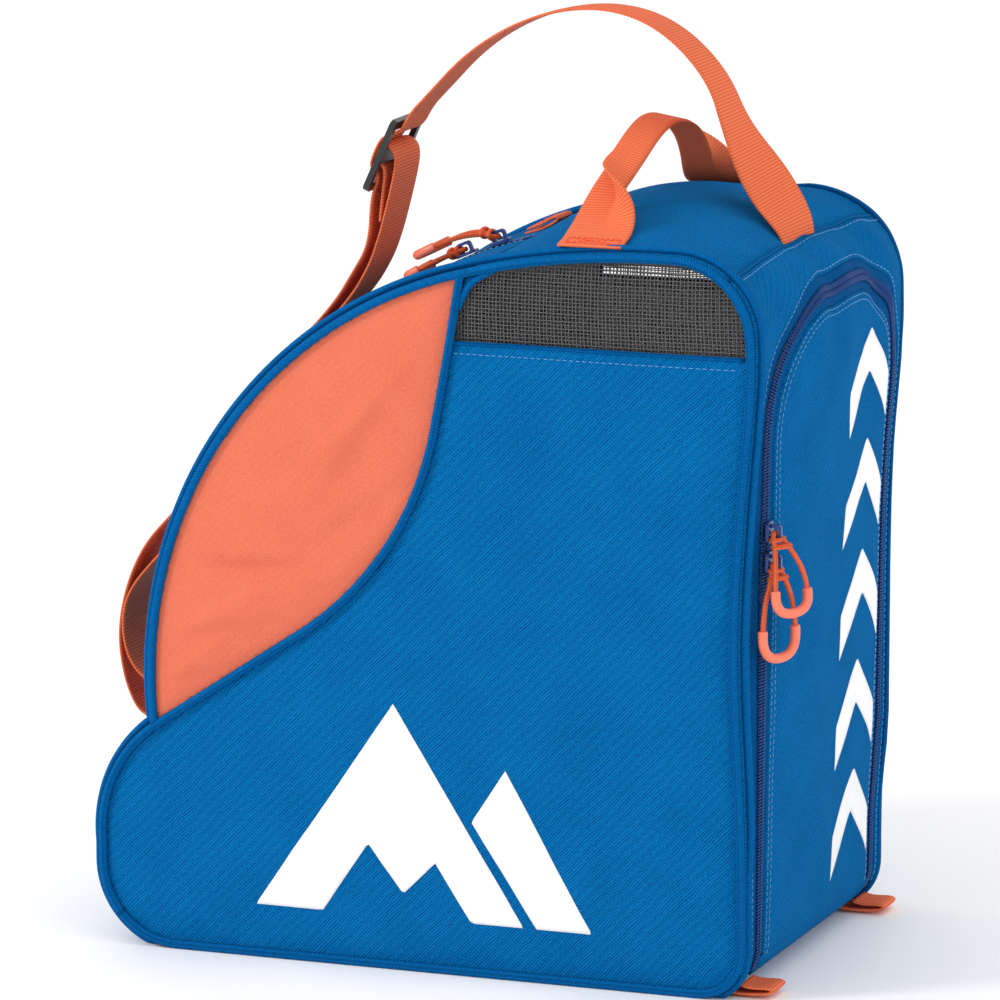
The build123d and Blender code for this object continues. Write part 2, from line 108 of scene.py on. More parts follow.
def make_stage():
    world = bpy.data.worlds.new("studio")
    bpy.context.scene.world = world
    world.use_nodes = True
    background = world.node_tree.nodes["Background"]
    background.inputs["Color"].default_value = (1, 1, 1, 1)
    background.inputs["Strength"].default_value = 1.0
    area_light("key", (-2.4, -2.0, 2.2), 0.8, 46)
    area_light("fill", (2.8, -1.6, 1.2), 1.6, 8)
    bpy.context.scene.view_settings.view_transform = "Standard"
    bpy.ops.mesh.primitive_plane_add(size=40, location=(0, 0, 0))
    floor = bpy.context.object
    floor.name = "floor"
    material = bpy.data.materials.new("floor")
    material.use_nodes = True
    shader = material.node_tree.nodes["Principled BSDF"]
    shader.inputs["Base Color"].default_value = (1, 1, 1, 1)
    shader.inputs["Roughness"].default_value = 0.75
    floor.data.materials.append(material)


# ---------------------------------------------------------------- materials
def link_math(tree, operation, a, b=None, clamp=False):
    node = tree.nodes.new("ShaderNodeMath")
    node.operation, node.use_clamp = operation, clamp
    for socket, value in zip(node.inputs, (a, b)):
        if value is None:
            continue
        if isinstance(value, (int, float)):
            socket.default_value = value
        else:
            tree.links.new(value, socket)
    return node.outputs[0]


def plus(tree, a, b, clamp=False):
    return link_math(tree, "ADD", a, b, clamp)


def times(tree, a, b):
    return link_math(tree, "MULTIPLY", a, b)


def uv_of(tree):
    """The UV map, whole and as its two coordinates."""
    coords = tree.nodes.new("ShaderNodeTexCoord")
    split = tree.nodes.new("ShaderNodeSeparateXYZ")
    tree.links.new(coords.outputs["UV"], split.inputs[0])
    return coords.outputs["UV"], split.outputs[0], split.outputs[1]


def noise_of(tree, source, scale, detail=2.0):
    node = tree.nodes.new("ShaderNodeTexNoise")
    node.inputs["Scale"].default_value = scale
    node.inputs["Detail"].default_value = detail
    tree.links.new(source, node.inputs["Vector"])
    return node.outputs["Fac"]


def colour_between(tree, factor, low, high):
    node = tree.nodes.new("ShaderNodeMix")
    node.data_type = "RGBA"
    node.inputs["A"].default_value = (*low, 1)
    node.inputs["B"].default_value = (*high, 1)
    tree.links.new(factor, node.inputs["Factor"])
    return node.outputs["Result"]


def new_material(name, roughness, sheen=0.0, specular=0.5):
    material = bpy.data.materials.new(name)
    material.use_nodes = True
    shader = material.node_tree.nodes["Principled BSDF"]
    shader.inputs["Roughness"].default_value = roughness
    shader.inputs["Sheen Weight"].default_value = sheen
    shader.inputs["Sheen Roughness"].default_value = 0.5
    shader.inputs["Specular IOR Level"].default_value = specular
    return material, material.node_tree, shader


def add_bump(tree, shader, height, distance, strength=1.0):
    bump = tree.nodes.new("ShaderNodeBump")
    bump.inputs["Strength"].default_value = strength
    bump.inputs["Distance"].default_value = distance
    tree.links.new(height, bump.inputs["Height"])
    tree.links.new(bump.outputs["Normal"], shader.inputs["Normal"])


def yarn_wave(tree, coordinate, pitch_mm, shift=0.0):
    """A sine along one UV coordinate, which is in metres."""
    angle = times(tree, coordinate, 2 * math.pi / (pitch_mm * MM))
    return link_math(tree, "SINE", plus(tree, angle, shift))


def woven(name, low, high, pitch, bump_mm, roughness, sheen, twill=0.5, contrast=0.5, specular=0.3):
    """Plain weave with a little twill, uneven yarns and a slow drift of colour."""
    material, tree, shader = new_material(name, roughness, sheen, specular)
    uv, u, v = uv_of(tree)
    sway = times(tree, noise_of(tree, uv, 55, 2), 0.0022)
    u, v = plus(tree, u, sway), link_math(tree, "SUBTRACT", v, sway)
    plain = times(tree, yarn_wave(tree, u, pitch), yarn_wave(tree, v, pitch))
    diagonal = yarn_wave(tree, link_math(tree, "SUBTRACT", u, v), pitch * 1.3)
    weave = plus(tree, plain, times(tree, diagonal, twill))
    grain = link_math(tree, "SUBTRACT", noise_of(tree, uv, 620, 2), 0.5)
    drift = link_math(tree, "SUBTRACT", noise_of(tree, uv, 24, 4), 0.5)
    weave = plus(tree, weave, times(tree, grain, 3.0))
    shade = plus(tree, times(tree, weave, 0.2 * contrast), times(tree, drift, 0.28 * contrast))
    shade = plus(tree, shade, 0.5, clamp=True)
    tree.links.new(colour_between(tree, shade, low, high), shader.inputs["Base Color"])
    add_bump(tree, shader, weave, bump_mm * MM)
    return material


def ribbed(name, low, high, pitch, bump_mm):
    """Webbing: ribs across its length, and the warp's fine lines along it."""
    material, tree, shader = new_material(name, 0.7, 0.0, 0.08)
    uv, along, across = uv_of(tree)
    ribs = yarn_wave(tree, along, pitch)
    warp = times(tree, yarn_wave(tree, across, 1.3), 0.35)
    height = plus(tree, plus(tree, ribs, warp), noise_of(tree, uv, 1200, 1))
    shade = plus(tree, times(tree, height, 0.28), 0.35, clamp=True)
    tree.links.new(colour_between(tree, shade, low, high), shader.inputs["Base Color"])
    add_bump(tree, shader, height, bump_mm * MM)
    return material


def moulded(name, colour, roughness, grain_mm=0.04, specular=0.5, metallic=0.0, scale=700):
    """Moulded plastic or paint, with a fine grain and uneven gloss."""
    material, tree, shader = new_material(name, roughness, 0.0, specular)
    coords = tree.nodes.new("ShaderNodeTexCoord")
    shader.inputs["Metallic"].default_value = metallic
    grain = noise_of(tree, coords.outputs["Object"], scale, 2)
    blotch = noise_of(tree, coords.outputs["Object"], 60, 3)
    worn = tuple(min(1.0, c * 1.25 + 0.002) for c in colour)
    tree.links.new(colour_between(tree, blotch, colour, worn), shader.inputs["Base Color"])
    gloss = plus(tree, times(tree, blotch, 0.2), roughness - 0.1)
    tree.links.new(gloss, shader.inputs["Roughness"])
    add_bump(tree, shader, grain, grain_mm * MM)
    return material


MATERIALS = {
    "blue": woven("blue_weave", (0.0, 0.050, 0.205), (0.004, 0.215, 0.540), 1.6, 0.15, 0.85, 0.0,
                  twill=1.1, contrast=1.2, specular=0.02),
    "piping": woven("piping_weave", (0.0, 0.045, 0.190), (0.002, 0.160, 0.440), 1.5, 0.08, 0.8, 0.0,
                    twill=0.8, contrast=0.9, specular=0.03),
    "orange": woven("orange_coated", (0.58, 0.100, 0.048), (0.86, 0.225, 0.135), 1.3, 0.07, 0.6, 0.0,
                    twill=0.3, contrast=0.8, specular=0.10),
    "lining": woven("lining_weave", (0.70, 0.70, 0.71), (0.88, 0.88, 0.89), 1.3, 0.05, 0.8, 0.0),
    "tape": woven("tape_weave", (0.0, 0.035, 0.150), (0.002, 0.125, 0.370), 1.3, 0.10, 0.8, 0.0, twill=1.4,
                  contrast=0.9, specular=0.03),
    "binding": woven("binding_weave", (0.14, 0.14, 0.15), (0.30, 0.30, 0.31), 1.1, 0.08, 0.8, 0.0, twill=1.2,
                     specular=0.05),
    "webbing": ribbed("webbing_ribs", (0.66, 0.085, 0.022), (0.93, 0.255, 0.120), 1.9, 0.12),
    "cord": woven("cord_braid", (0.66, 0.070, 0.018), (0.93, 0.205, 0.080), 1.6, 0.08, 0.6, 0.0, twill=0.4,
                  specular=0.12),
    "mesh": moulded("mesh_thread", (0.080, 0.078, 0.081), 0.36, 0.02, 0.6),
    "coil": moulded("coil_nylon", (0.003, 0.040, 0.180), 0.4, 0.01, 0.2),
    "print": moulded("print_film", (0.86, 0.86, 0.86), 0.5, 0.05, 0.3, scale=1400),
    "black": moulded("buckle_acetal", (0.010, 0.010, 0.011), 0.36, 0.05, 0.5),
    "paint": moulded("slider_paint", (0.004, 0.035, 0.190), 0.28, 0.02, 0.6, 0.3),
    "grip": moulded("grip_tube", (0.86, 0.175, 0.095), 0.34, 0.02, 0.5),
    "thread_blue": moulded("thread_blue", (0.10, 0.30, 0.60), 0.6, 0.02),
    "thread_orange": moulded("thread_orange", (0.80, 0.105, 0.035), 0.6, 0.02),
    "board": moulded("board_sheet", (0.05, 0.05, 0.055), 0.6),
}


# ---------------------------------------------------------------- mesh helpers
def make_object(name, points, faces, uv=None, materials=("blue",), smooth=True):
    """A mesh from points in millimetres. uv holds one millimetre pair per point."""
    mesh = bpy.data.meshes.new(name)
    mesh.from_pydata((np.asarray(points) * MM).tolist(), [], [list(map(int, f)) for f in faces])
    if uv is not None:
        layer = mesh.uv_layers.new(name="UVMap")
        index = np.zeros(len(mesh.loops), dtype=np.int32)
        mesh.loops.foreach_get("vertex_index", index)
        layer.data.foreach_set("uv", (np.asarray(uv)[index] * MM).astype(np.float32).ravel())
    if smooth:
        mesh.polygons.foreach_set("use_smooth", [True] * len(mesh.polygons))
    mesh.update()
    obj = bpy.data.objects.new(name, mesh)
    bpy.context.scene.collection.objects.link(obj)
    for key in materials:
        mesh.materials.append(MATERIALS[key])
    return obj


def unit(vectors):
    return vectors / np.linalg.norm(vectors, axis=1)[:, None]


def at_y(line, y):
    """A line in (x, z) as 3-D points, at one y or at a y each."""
    return np.stack([line[:, 0], np.broadcast_to(y, (len(line),)), line[:, 1]], axis=1)


def grid_faces(rows, columns):
    """The quads of a grid of points that are listed row by row."""
    return [[i * columns + j, i * columns + j + 1, (i + 1) * columns + j + 1, (i + 1) * columns + j]
            for i in range(rows - 1) for j in range(columns - 1)]


def bell(values, centre, width):
    return np.exp(-((values - centre) / width) ** 2)


def settle(obj):
    """The standing bag's own slouch: the heel's two edges aren't straight."""
    mesh = obj.data
    p = np.zeros(len(mesh.vertices) * 3)
    mesh.vertices.foreach_get("co", p)
    p = p.reshape(-1, 3) / MM
    x, y, z = p.T.copy()
    heel = np.clip((x - 110) / 85, 0, 1) ** 2
    near = np.clip((-y - 104) / 17, 0, 1)
    far = np.clip((y - 40) / 70, 0, 1)
    seam = np.clip((y - 117.5) / 4, 0, 1)
    upper = np.clip((z - 335) / 40, 0, 1)
    slouch = 7.5 * bell(z, 368, 75) + 3.6 * np.clip((z - 60) / 60, 0, 1)
    shift = near * (3.0 * bell(z, 355, 45) - 6.0 * bell(z, 205, 85))
    shift = shift + far * slouch * (1 - 0.75 * seam) - 2.4 * seam * upper
    pucker = 1.5 * np.sin(y / 11.0) + 1.1 * np.sin(y / 6.3 + 1.0)
    p[:, 0] += heel * (shift + upper * pucker * 0.6)
    ridge = np.clip((z - 392) / 25, 0, 1) * np.clip((x - 128) / 25, 0, 1)
    p[:, 2] += heel * upper * pucker * 0.6 + ridge * far * (3.2 - 5.4 * seam)
    mesh.vertices.foreach_set("co", (p * MM).ravel())
    mesh.update()


def finished(obj, body, replaces=()):
    if body in ("bag", "flap"):
        settle(obj)
    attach(obj, body)
    if replaces:
        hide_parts(*replaces)
    return obj


def keep_result(obj):
    """The mesh with its modifiers applied."""
    graph = bpy.context.evaluated_depsgraph_get()
    mesh = bpy.data.meshes.new_from_object(obj.evaluated_get(graph))
    obj.modifiers.clear()
    obj.data = mesh


def thicken(obj, thickness, lining=True):
    """A second skin inside the first, of the lining's material, joined at the edge."""
    if lining:
        obj.data.materials.append(MATERIALS["lining"])
    modifier = obj.modifiers.new("wall", "SOLIDIFY")
    modifier.thickness = thickness * MM
    modifier.offset = -1
    modifier.material_offset = 1 if lining else 0
    modifier.use_quality_normals = True
    keep_result(obj)


def solidify(obj, thickness):
    """A sheet's thickness, half of it to each side."""
    modifier = obj.modifiers.new("sheet", "SOLIDIFY")
    modifier.thickness, modifier.offset = thickness * MM, 0
    keep_result(obj)


def distance_to(points, line, closed=True):
    """Distance in the plane from each point to a polyline."""
    a = np.asarray(line, float)
    b = np.roll(a, -1, axis=0) if closed else a[1:]
    a = a if closed else a[:-1]
    best = np.full(len(points), 1e9)
    for start, end in zip(a, b):
        d = end - start
        t = np.clip(((points - start) @ d) / max(d @ d, 1e-9), 0, 1)
        best = np.minimum(best, np.hypot(*(points - start - t[:, None] * d).T))
    return best


def inside(points, loop):
    x, y = points.T
    result = np.zeros(len(points), bool)
    for (ax, ay), (bx, by) in zip(loop, np.roll(loop, -1, axis=0)):
        crosses = (ay > y) != (by > y)
        with np.errstate(divide="ignore", invalid="ignore"):
            at = (bx - ax) * (y - ay) / (by - ay) + ax
        result ^= crosses & (x < at)
    return result


def resample(line, step, closed=False):
    """Points evenly along a polyline, of any dimension."""
    p = np.asarray(line, float)
    if closed:
        p = np.vstack([p, p[:1]])
    run = np.concatenate([[0], np.cumsum(np.linalg.norm(np.diff(p, axis=0), axis=1))])
    count = max(2, int(round(run[-1] / step)))
    at = np.linspace(0, run[-1], count + 1)
    if closed:
        at = at[:-1]
    return np.stack([np.interp(at, run, p[:, k]) for k in range(p.shape[1])], axis=1)


def arc(centre, radius, start, end, count=48):
    angles = np.radians(np.linspace(start, end, count))
    return np.stack([centre[0] + radius * np.cos(angles), centre[1] + radius * np.sin(angles)], axis=1)


def circle_through(a, b, c):
    (ax, ay), (bx, by), (cx, cy) = a, b, c
    d = 2 * (ax * (by - cy) + bx * (cy - ay) + cx * (ay - by))
    aa, bb, cc = ax * ax + ay * ay, bx * bx + by * by, cx * cx + cy * cy
    x = (aa * (by - cy) + bb * (cy - ay) + cc * (ay - by)) / d
    y = (aa * (cx - bx) + bb * (ax - cx) + cc * (bx - ax)) / d
    return (x, y), math.hypot(ax - x, ay - y)


def arc_through(a, b, c, count=48):
    centre, radius = circle_through(a, b, c)
    angles = [math.degrees(math.atan2(p[1] - centre[1], p[0] - centre[0])) for p in (a, b, c)]
    for k in (1, 2):
        while angles[k] - angles[k - 1] > 180:
            angles[k] -= 360
        while angles[k] - angles[k - 1] < -180:
            angles[k] += 360
    return arc(centre, radius, angles[0], angles[2], count)


def region_mesh(name, loop, pitch, surface, materials=("blue",), thickness=2.4, lining=True):
    """A fabric panel: a region of a plane filled with triangles and laid on a surface."""
    loop = resample(loop, pitch, closed=True)
    low, high = loop.min(0), loop.max(0)
    rows = np.arange(low[1], high[1], pitch * 0.87)
    grid = []
    for number, row in enumerate(rows):
        xs = np.arange(low[0] + (number % 2) * pitch / 2, high[0], pitch)
        grid.append(np.stack([xs, np.full(len(xs), row)], axis=1))
    grid = np.vstack(grid)
    grid = grid[inside(grid, loop)]
    grid = grid[distance_to(grid, loop) > 0.55 * pitch]
    plane = np.vstack([loop, grid])
    face = [list(range(len(loop)))]
    verts, _, faces, *_ = delaunay_2d_cdt([Vector(p) for p in plane], [], face, 1, 1e-6)
    plane = np.array([tuple(v) for v in verts])
    points = surface(plane)
    tri = np.array([f for f in faces])
    a, b, c = points[tri[:, 0]], points[tri[:, 1]], points[tri[:, 2]]
    normals = np.cross(b - a, c - a)
    outward = ((a + b + c) / 3 - np.array([0, 0, 200.0]))
    if (normals * outward).sum() < 0:
        tri = tri[:, ::-1]
    obj = make_object(name, points, tri, plane, materials)
    if thickness:
        thicken(obj, thickness, lining)
    return obj


def frames_along(points, closed=False):
    """Tangents, and a normal carried along without twisting, for a 3-D polyline."""
    p = np.asarray(points, float)
    if closed:
        tangent = np.roll(p, -1, axis=0) - np.roll(p, 1, axis=0)
    else:
        tangent = np.gradient(p, axis=0)
    tangent = unit(tangent)
    first = np.cross(tangent[0], (0.0, 0.0, 1.0) if abs(tangent[0][2]) < 0.9 else (0.0, 1.0, 0.0))
    normal = [first / np.linalg.norm(first)]
    for t in tangent[1:]:
        n = normal[-1] - (normal[-1] @ t) * t
        normal.append(n / np.linalg.norm(n))
    normal = np.array(normal)
    return tangent, normal, np.cross(tangent, normal)


def tube_points(path, radius, sides, closed=False, braid=0.0, braid_pitch=4.0):
    path = np.asarray(path, float)
    _, n, b = frames_along(path, closed)
    run = np.concatenate([[0], np.cumsum(np.linalg.norm(np.diff(path, axis=0), axis=1))])
    angle = np.arange(sides) * 2 * np.pi / sides
    radius = np.broadcast_to(radius, (len(path),))[:, None]
    if braid:
        phase = run[:, None] * 2 * np.pi / braid_pitch
        radius = radius * (1 + braid * np.cos(3 * angle - phase) * np.cos(3 * angle + phase))
    c, s = np.cos(angle)[None, :, None], np.sin(angle)[None, :, None]
    rings = path[:, None, :] + radius[..., None] * (c * n[:, None, :] + s * b[:, None, :])
    uv = np.stack(np.broadcast_arrays(run[:, None], angle[None, :] * 1.5), axis=-1)
    return rings.reshape(-1, 3), uv.reshape(-1, 2)


def tube_faces(rings, sides, closed=False, capped=True):
    i = np.arange(rings if closed else rings - 1)[:, None]
    j = np.arange(sides)[None, :]
    nxt, side = (i + 1) % rings, (j + 1) % sides
    corners = np.broadcast_arrays(i * sides + j, i * sides + side, nxt * sides + side, nxt * sides + j)
    quads = np.stack(corners, axis=-1).reshape(-1, 4).tolist()
    if not closed and capped:
        quads.append(list(range(sides))[::-1])
        quads.append([(rings - 1) * sides + k for k in range(sides)])
    return quads


def tube(name, path, radius, material, sides=10, closed=False, braid=0.0):
    points, uv = tube_points(path, radius, sides, closed, braid)
    return make_object(name, points, tube_faces(len(path), sides, closed), uv, (material,))


def merged(name, pieces, material):
    """One object from several (points, faces, uv)."""
    points, faces, uvs, base = [], [], [], 0
    for p, f, uv in pieces:
        points.append(p)
        uvs.append(uv)
        faces.extend([[base + k for k in face] for face in f])
        base += len(p)
    return make_object(name, np.vstack(points), faces, np.vstack(uvs), (material,))


# ---------------------------------------------------------------- surfaces
def outline_run():
    """The bag's outline from the top seam down the front, round the toe and under the base."""
    top = math.degrees(math.acos((TOP_SEAM_X - FRONT_CENTRE[0]) / FRONT_R))
    low = math.degrees(math.atan2(NOTCH[1] - FRONT_CENTRE[1], NOTCH[0] - FRONT_CENTRE[0])) + 360
    return [
        arc(FRONT_CENTRE, FRONT_R, top, low, 120),
        np.vstack([arc_through(NOTCH, (-191.5, 105), (-200, 60), 30), [(-200, 49)],
                   arc(TOE_CENTRE, TOE_R, 180, 270, 30)]),
        np.vstack([[(-151, 0)], [(172, 0)], arc(FOOT_CENTRE, FOOT_R, -90, FOOT_TURN, 20)]),
    ]


FRONT_RUN, TOE_RUN, BASE_RUN = [resample(part, 1.5) for part in outline_run()]


def run_length(line):
    return np.concatenate([[0], np.cumsum(np.linalg.norm(np.diff(line, axis=0), axis=1))])


def along_run(line, s):
    """Point and outward normal of an outline part at a length along it."""
    length = run_length(line)
    tangent = unit(np.gradient(line, axis=0))
    p = np.stack([np.interp(s, length, line[:, k]) for k in (0, 1)], axis=1)
    t = np.stack([np.interp(s, length, tangent[:, k]) for k in (0, 1)], axis=1)
    return p, np.stack([t[:, 1], -t[:, 0]], axis=1)


def crumple(points, scale, seed):
    """Smooth noise, -1 to 1, at points in millimetres."""
    return np.array([noise.noise(Vector((p[0] / scale + seed, p[1] / scale - seed, seed * 0.37)))
                     for p in points])


def swell(points, loops, reach):
    """0 at the seams, rising to 1 away from them."""
    d = np.min([distance_to(points, loop) for loop in loops], axis=0)
    return 1 - np.exp(-d / reach)


def run_surface(line, puff, rough, seed, y_range):
    low, high = y_range

    def surface(plane):
        y, s = plane[:, 0], plane[:, 1]
        p, n = along_run(line, s)
        p = p - n * (1.6 * np.clip((np.abs(y) - 119.4) / 1.5, 0, 1))[:, None]
        across = np.clip((y - low) / (high - low), 0, 1)
        middle = np.sqrt(np.clip(4 * across * (1 - across), 0, 1))
        lift = puff * 4 * across * (1 - across) + rough * crumple(plane, 38, seed) * middle
        p = p + n * lift[:, None]
        return np.stack([p[:, 0], y, np.maximum(p[:, 1], 0.2)], axis=1)
    return surface


def profile(parts):
    """A line given in parts, as a function of 0..len(parts)."""
    def at(tau):
        tau = np.clip(tau, 0, len(parts) - 1e-9)
        result = np.zeros((len(tau), 2))
        for number, part in enumerate(parts):
            mask = (tau >= number) & (tau < number + 1)
            length = run_length(part)
            for k in (0, 1):
                result[mask, k] = np.interp((tau[mask] - number) * length[-1], length, part[:, k])
        return result
    return at


def between(mid, side):
    """The surface through a middle line and two equal side lines."""
    def at(y, tau):
        weight = ((y / GUSSET_Y) ** 2)[:, None]
        return at_y(mid(tau) * (1 - weight) + side(tau) * weight, y)
    return at


HEEL_AT = between(
    profile([arc((184, 389), 32, 84.6, 0), np.array([(216.0, 389.0), (202.0, 28.0)]),
             arc((174, 28), FOOT_R, 0, FOOT_TURN)]),
    profile([arc(SHOULDER, SHOULDER_R, 44.8, 0), np.array([(200.0, 382.0), (200.0, 28.0)]),
             arc(FOOT_CENTRE, FOOT_R, 0, FOOT_TURN)]))
HEEL_TAU = np.linspace(0, 3, 900)
HEEL_MID = HEEL_AT(np.zeros(900), HEEL_TAU)
HEEL_S = run_length(HEEL_MID)[-1] - run_length(HEEL_MID)      # from the sill up, at the middle


def heel_tau(y, z):
    """Where on the heel surface a height is, by halving."""
    low, high = np.zeros(len(y)), np.full(len(y), 3.0)
    for _ in range(40):
        middle = (low + high) / 2
        below = HEEL_AT(y, middle)[:, 2] < z
        high = np.where(below, middle, high)
        low = np.where(below, low, middle)
    return (low + high) / 2


def heel_plane(points):
    """(y, z) on the heel turned to (y, length up the middle of the heel)."""
    p = np.asarray(points, float)
    return np.stack([p[:, 0], np.interp(heel_tau(p[:, 0], p[:, 1]), HEEL_TAU, HEEL_S)], axis=1)


def heel_point(plane, lift=0.0):
    """Point on the heel surface, lifted along its normal."""
    y = plane[:, 0]
    tau = np.interp(plane[:, 1], HEEL_S[::-1], HEEL_TAU[::-1])
    p = HEEL_AT(y, tau)
    step = 0.01
    du = HEEL_AT(y + 0.5, tau) - HEEL_AT(y - 0.5, tau)
    dv = HEEL_AT(y, np.clip(tau + step, 0, 3)) - HEEL_AT(y, np.clip(tau - step, 0, 3))
    n = unit(np.cross(dv, du))
    n *= np.sign((n * (p - np.array([100.0, 0, 200.0]))).sum(axis=1))[:, None]
    return p + n * np.broadcast_to(lift, y.shape)[:, None]


def zip_u(grow, bottom=SILL_Z):
    """The heel zip's upside-down U in (y, z), from the foot of one leg to the other."""
    half, top, radius = ZIP_HALF + grow, ZIP_TOP + grow, ZIP_R + grow
    centre = (half - radius, top - radius)
    return np.vstack([[(-half, bottom)], arc((-centre[0], centre[1]), radius, 180, 90),
                      arc(centre, radius, 90, 0), [(half, bottom)]])


def u_on_heel(grow, step=2.0, bottom=SILL_Z):
    return heel_plane(resample(zip_u(grow, bottom), step))


TOP_AT = between(
    profile([arc_through(*TOP_MIDDLE, 80)]),
    profile([np.vstack([arc_through(*TOP_SIDE, 60), arc(SHOULDER, SHOULDER_R, 90, 45, 24)[1:]])]))


def top_surface(plane):
    y, s = plane[:, 0], plane[:, 1]
    p = TOP_AT(y, np.clip(s / TOP_LENGTH, 0, 1))
    edge = (1 - (y / 121) ** 2) * np.clip(4 * (s / TOP_LENGTH) * (1 - s / TOP_LENGTH), 0, 1)
    p[:, 2] += 1.6 * edge + 1.5 * crumple(plane, 45, 3.1) * np.sqrt(np.clip(edge, 0, 1))
    return p


# ---------------------------------------------------------------- CAD outlines
def face_loops(node, y):
    """The boundary loops, in (x, z), of a CAD node's flat face at a y."""
    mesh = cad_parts[node].data
    points = np.zeros(len(mesh.vertices) * 3)
    mesh.vertices.foreach_get("co", points)
    points = points.reshape(-1, 3) / MM
    merged_at = {}
    index = [merged_at.setdefault(tuple(np.round(p, 2)), len(merged_at)) for p in points]
    place = np.array(list(merged_at))
    flat = {i for i, p in enumerate(place) if abs(p[1] - y) < 0.02}
    edges = {}
    for polygon in mesh.polygons:
        corners = [index[v] for v in polygon.vertices]
        if all(c in flat for c in corners):
            for a, b in zip(corners, corners[1:] + corners[:1]):
                edges[(a, b)] = edges.get((a, b), 0) + 1
    border = {a: b for (a, b) in edges if (b, a) not in edges}
    loops = []
    while border:
        start, loop = next(iter(border)), []
        while start in border:
            loop.append(start)
            start = border.pop(start)
        loops.append(place[loop][:, [0, 2]])
    return sorted(loops, key=lambda l: -np.ptp(l[:, 0]) * np.ptp(l[:, 1]))


SIDE_LOOP = face_loops("side_panel_left", -SIDE_Y)[0]
TOE_LOOP = face_loops("toe_side_panel_left", -SIDE_Y)[0]
WINDOW_LOOP = face_loops("mesh_window_left", -SIDE_Y + 0.8)[0]
BLUE_PIPING_LOOP = face_loops("side_piping_left", -SIDE_Y - 2.5)[0]
PRINT_LOOPS = face_loops("side_print_left", -SIDE_Y - 0.4)
BLUE_LOOP = resample(BLUE_PIPING_LOOP, 3, closed=True)
SEAMS = [resample(SIDE_LOOP, 4, closed=True), resample(TOE_LOOP, 4, closed=True),
         resample(WINDOW_LOOP, 4, closed=True)]

# gentle pulls in the side's fabric: ends in (x, z), height and half width
SIDE_FOLDS = [
    ((20, 350), (75, 235), 2.8, 9), ((-10, 300), (60, 180), 2.2, 10), ((-150, 118), (-50, 55), 2.4, 9),
    ((-185, 70), (-115, 40), 2.0, 7), ((188, 345), (115, 240), 2.6, 9), ((192, 225), (140, 110), -2.2, 9),
    ((190, 60), (110, 95), 2.3, 8), ((60, 352), (105, 285), -1.9, 8), ((120, 30), (60, 120), 1.8, 11),
    ((178, 330), (186, 70), 2.6, 11), ((164, 350), (160, 150), -1.8, 9),
    ((-20, 345), (-75, 275), 3.4, 7), ((5, 300), (-60, 240), -4.2, 7), ((-135, 232), (-60, 226), -5.2, 6),
    ((-150, 190), (-85, 214), 4.8, 6), ((-60, 330), (-40, 290), 3.0, 6), ((-158, 160), (-110, 186), 4.0, 5),
    ((-120, 280), (-80, 262), 3.8, 6), ((-40, 210), (-95, 180), 3.8, 6), ((-20, 240), (-70, 205), -3.6, 6),
]


def folds(points, rows, seed):
    total = np.zeros(len(points))
    for number, (start, end, height, width) in enumerate(rows):
        a, b = np.array(start, float), np.array(end, float)
        a[0] += 6 * math.sin(seed + number)
        d = b - a
        t = ((points - a) @ d) / (d @ d)
        off = np.abs((points - a) @ np.array([-d[1], d[0]])) / np.linalg.norm(d)
        off = off + 5 * np.sin(t * 2.2 + seed)
        total += height * np.exp(-(off / width) ** 2) * np.exp(-((t - 0.4) / 0.55) ** 2)
    return total


def side_y(points, seed):
    """How far out the side's fabric is at points in (x, z)."""
    inset = swell(points, SEAMS, 13)
    wide = swell(points, SEAMS, 30)
    rough = 1.6 * crumple(points, 62, seed) + 0.5 * crumple(points, 21, seed + 5)
    return 123.4 + 3.6 * inset + (rough + folds(points, SIDE_FOLDS, seed)) * wide


def side_surface(sign, lift=0.0):
    def surface(plane, lift=lift):
        y = sign * (side_y(plane, CRUMPLE_SEED[sign]) + lift)
        return np.stack([plane[:, 0], y, np.maximum(plane[:, 1], 0.6)], axis=1)
    return surface


# ---------------------------------------------------------------- stitches
def stitches(name, surface, line, body, length=2.6, gap=1.3, radius=0.26):
    """A row of stitches along a line drawn in a surface's plane."""
    ends = resample(line, length + gap)
    share = length / (length + gap)
    first, last = ends[:-1], ends[:-1] + (ends[1:] - ends[:-1]) * share
    pieces = []
    steps = np.array([0.0, 0.18, 0.5, 0.82, 1.0])
    sink = np.array([-0.15, 0.15, 0.30, 0.15, -0.15])
    for a, b in zip(first, last):
        plane = a + (b - a) * steps[:, None]
        points = surface(plane, sink + 0.1)
        rings, uv = tube_points(points, radius * np.array([0.5, 1, 1, 1, 0.5]), 6)
        pieces.append((rings, tube_faces(5, 6), uv))
    return finished(merged(name, pieces, "thread_blue"), body)


# ---------------------------------------------------------------- the two sides
def anticlockwise(loop):
    x, y = loop.T
    return np.sum(x * np.roll(y, -1) - np.roll(x, -1) * y) > 0


def inset_line(loop, distance):
    """The loop moved inwards, whichever way round it goes."""
    p = np.asarray(loop, float)
    tangent = unit(np.roll(p, -1, axis=0) - np.roll(p, 1, axis=0))
    inward = np.stack([-tangent[:, 1], tangent[:, 0]], axis=1) * (1 if anticlockwise(p) else -1)
    return p + inward * distance


def smoothed(loop, rounds):
    for _ in range(rounds):
        loop = (np.roll(loop, 1, axis=0) + 2 * loop + np.roll(loop, -1, axis=0)) / 4
    return loop


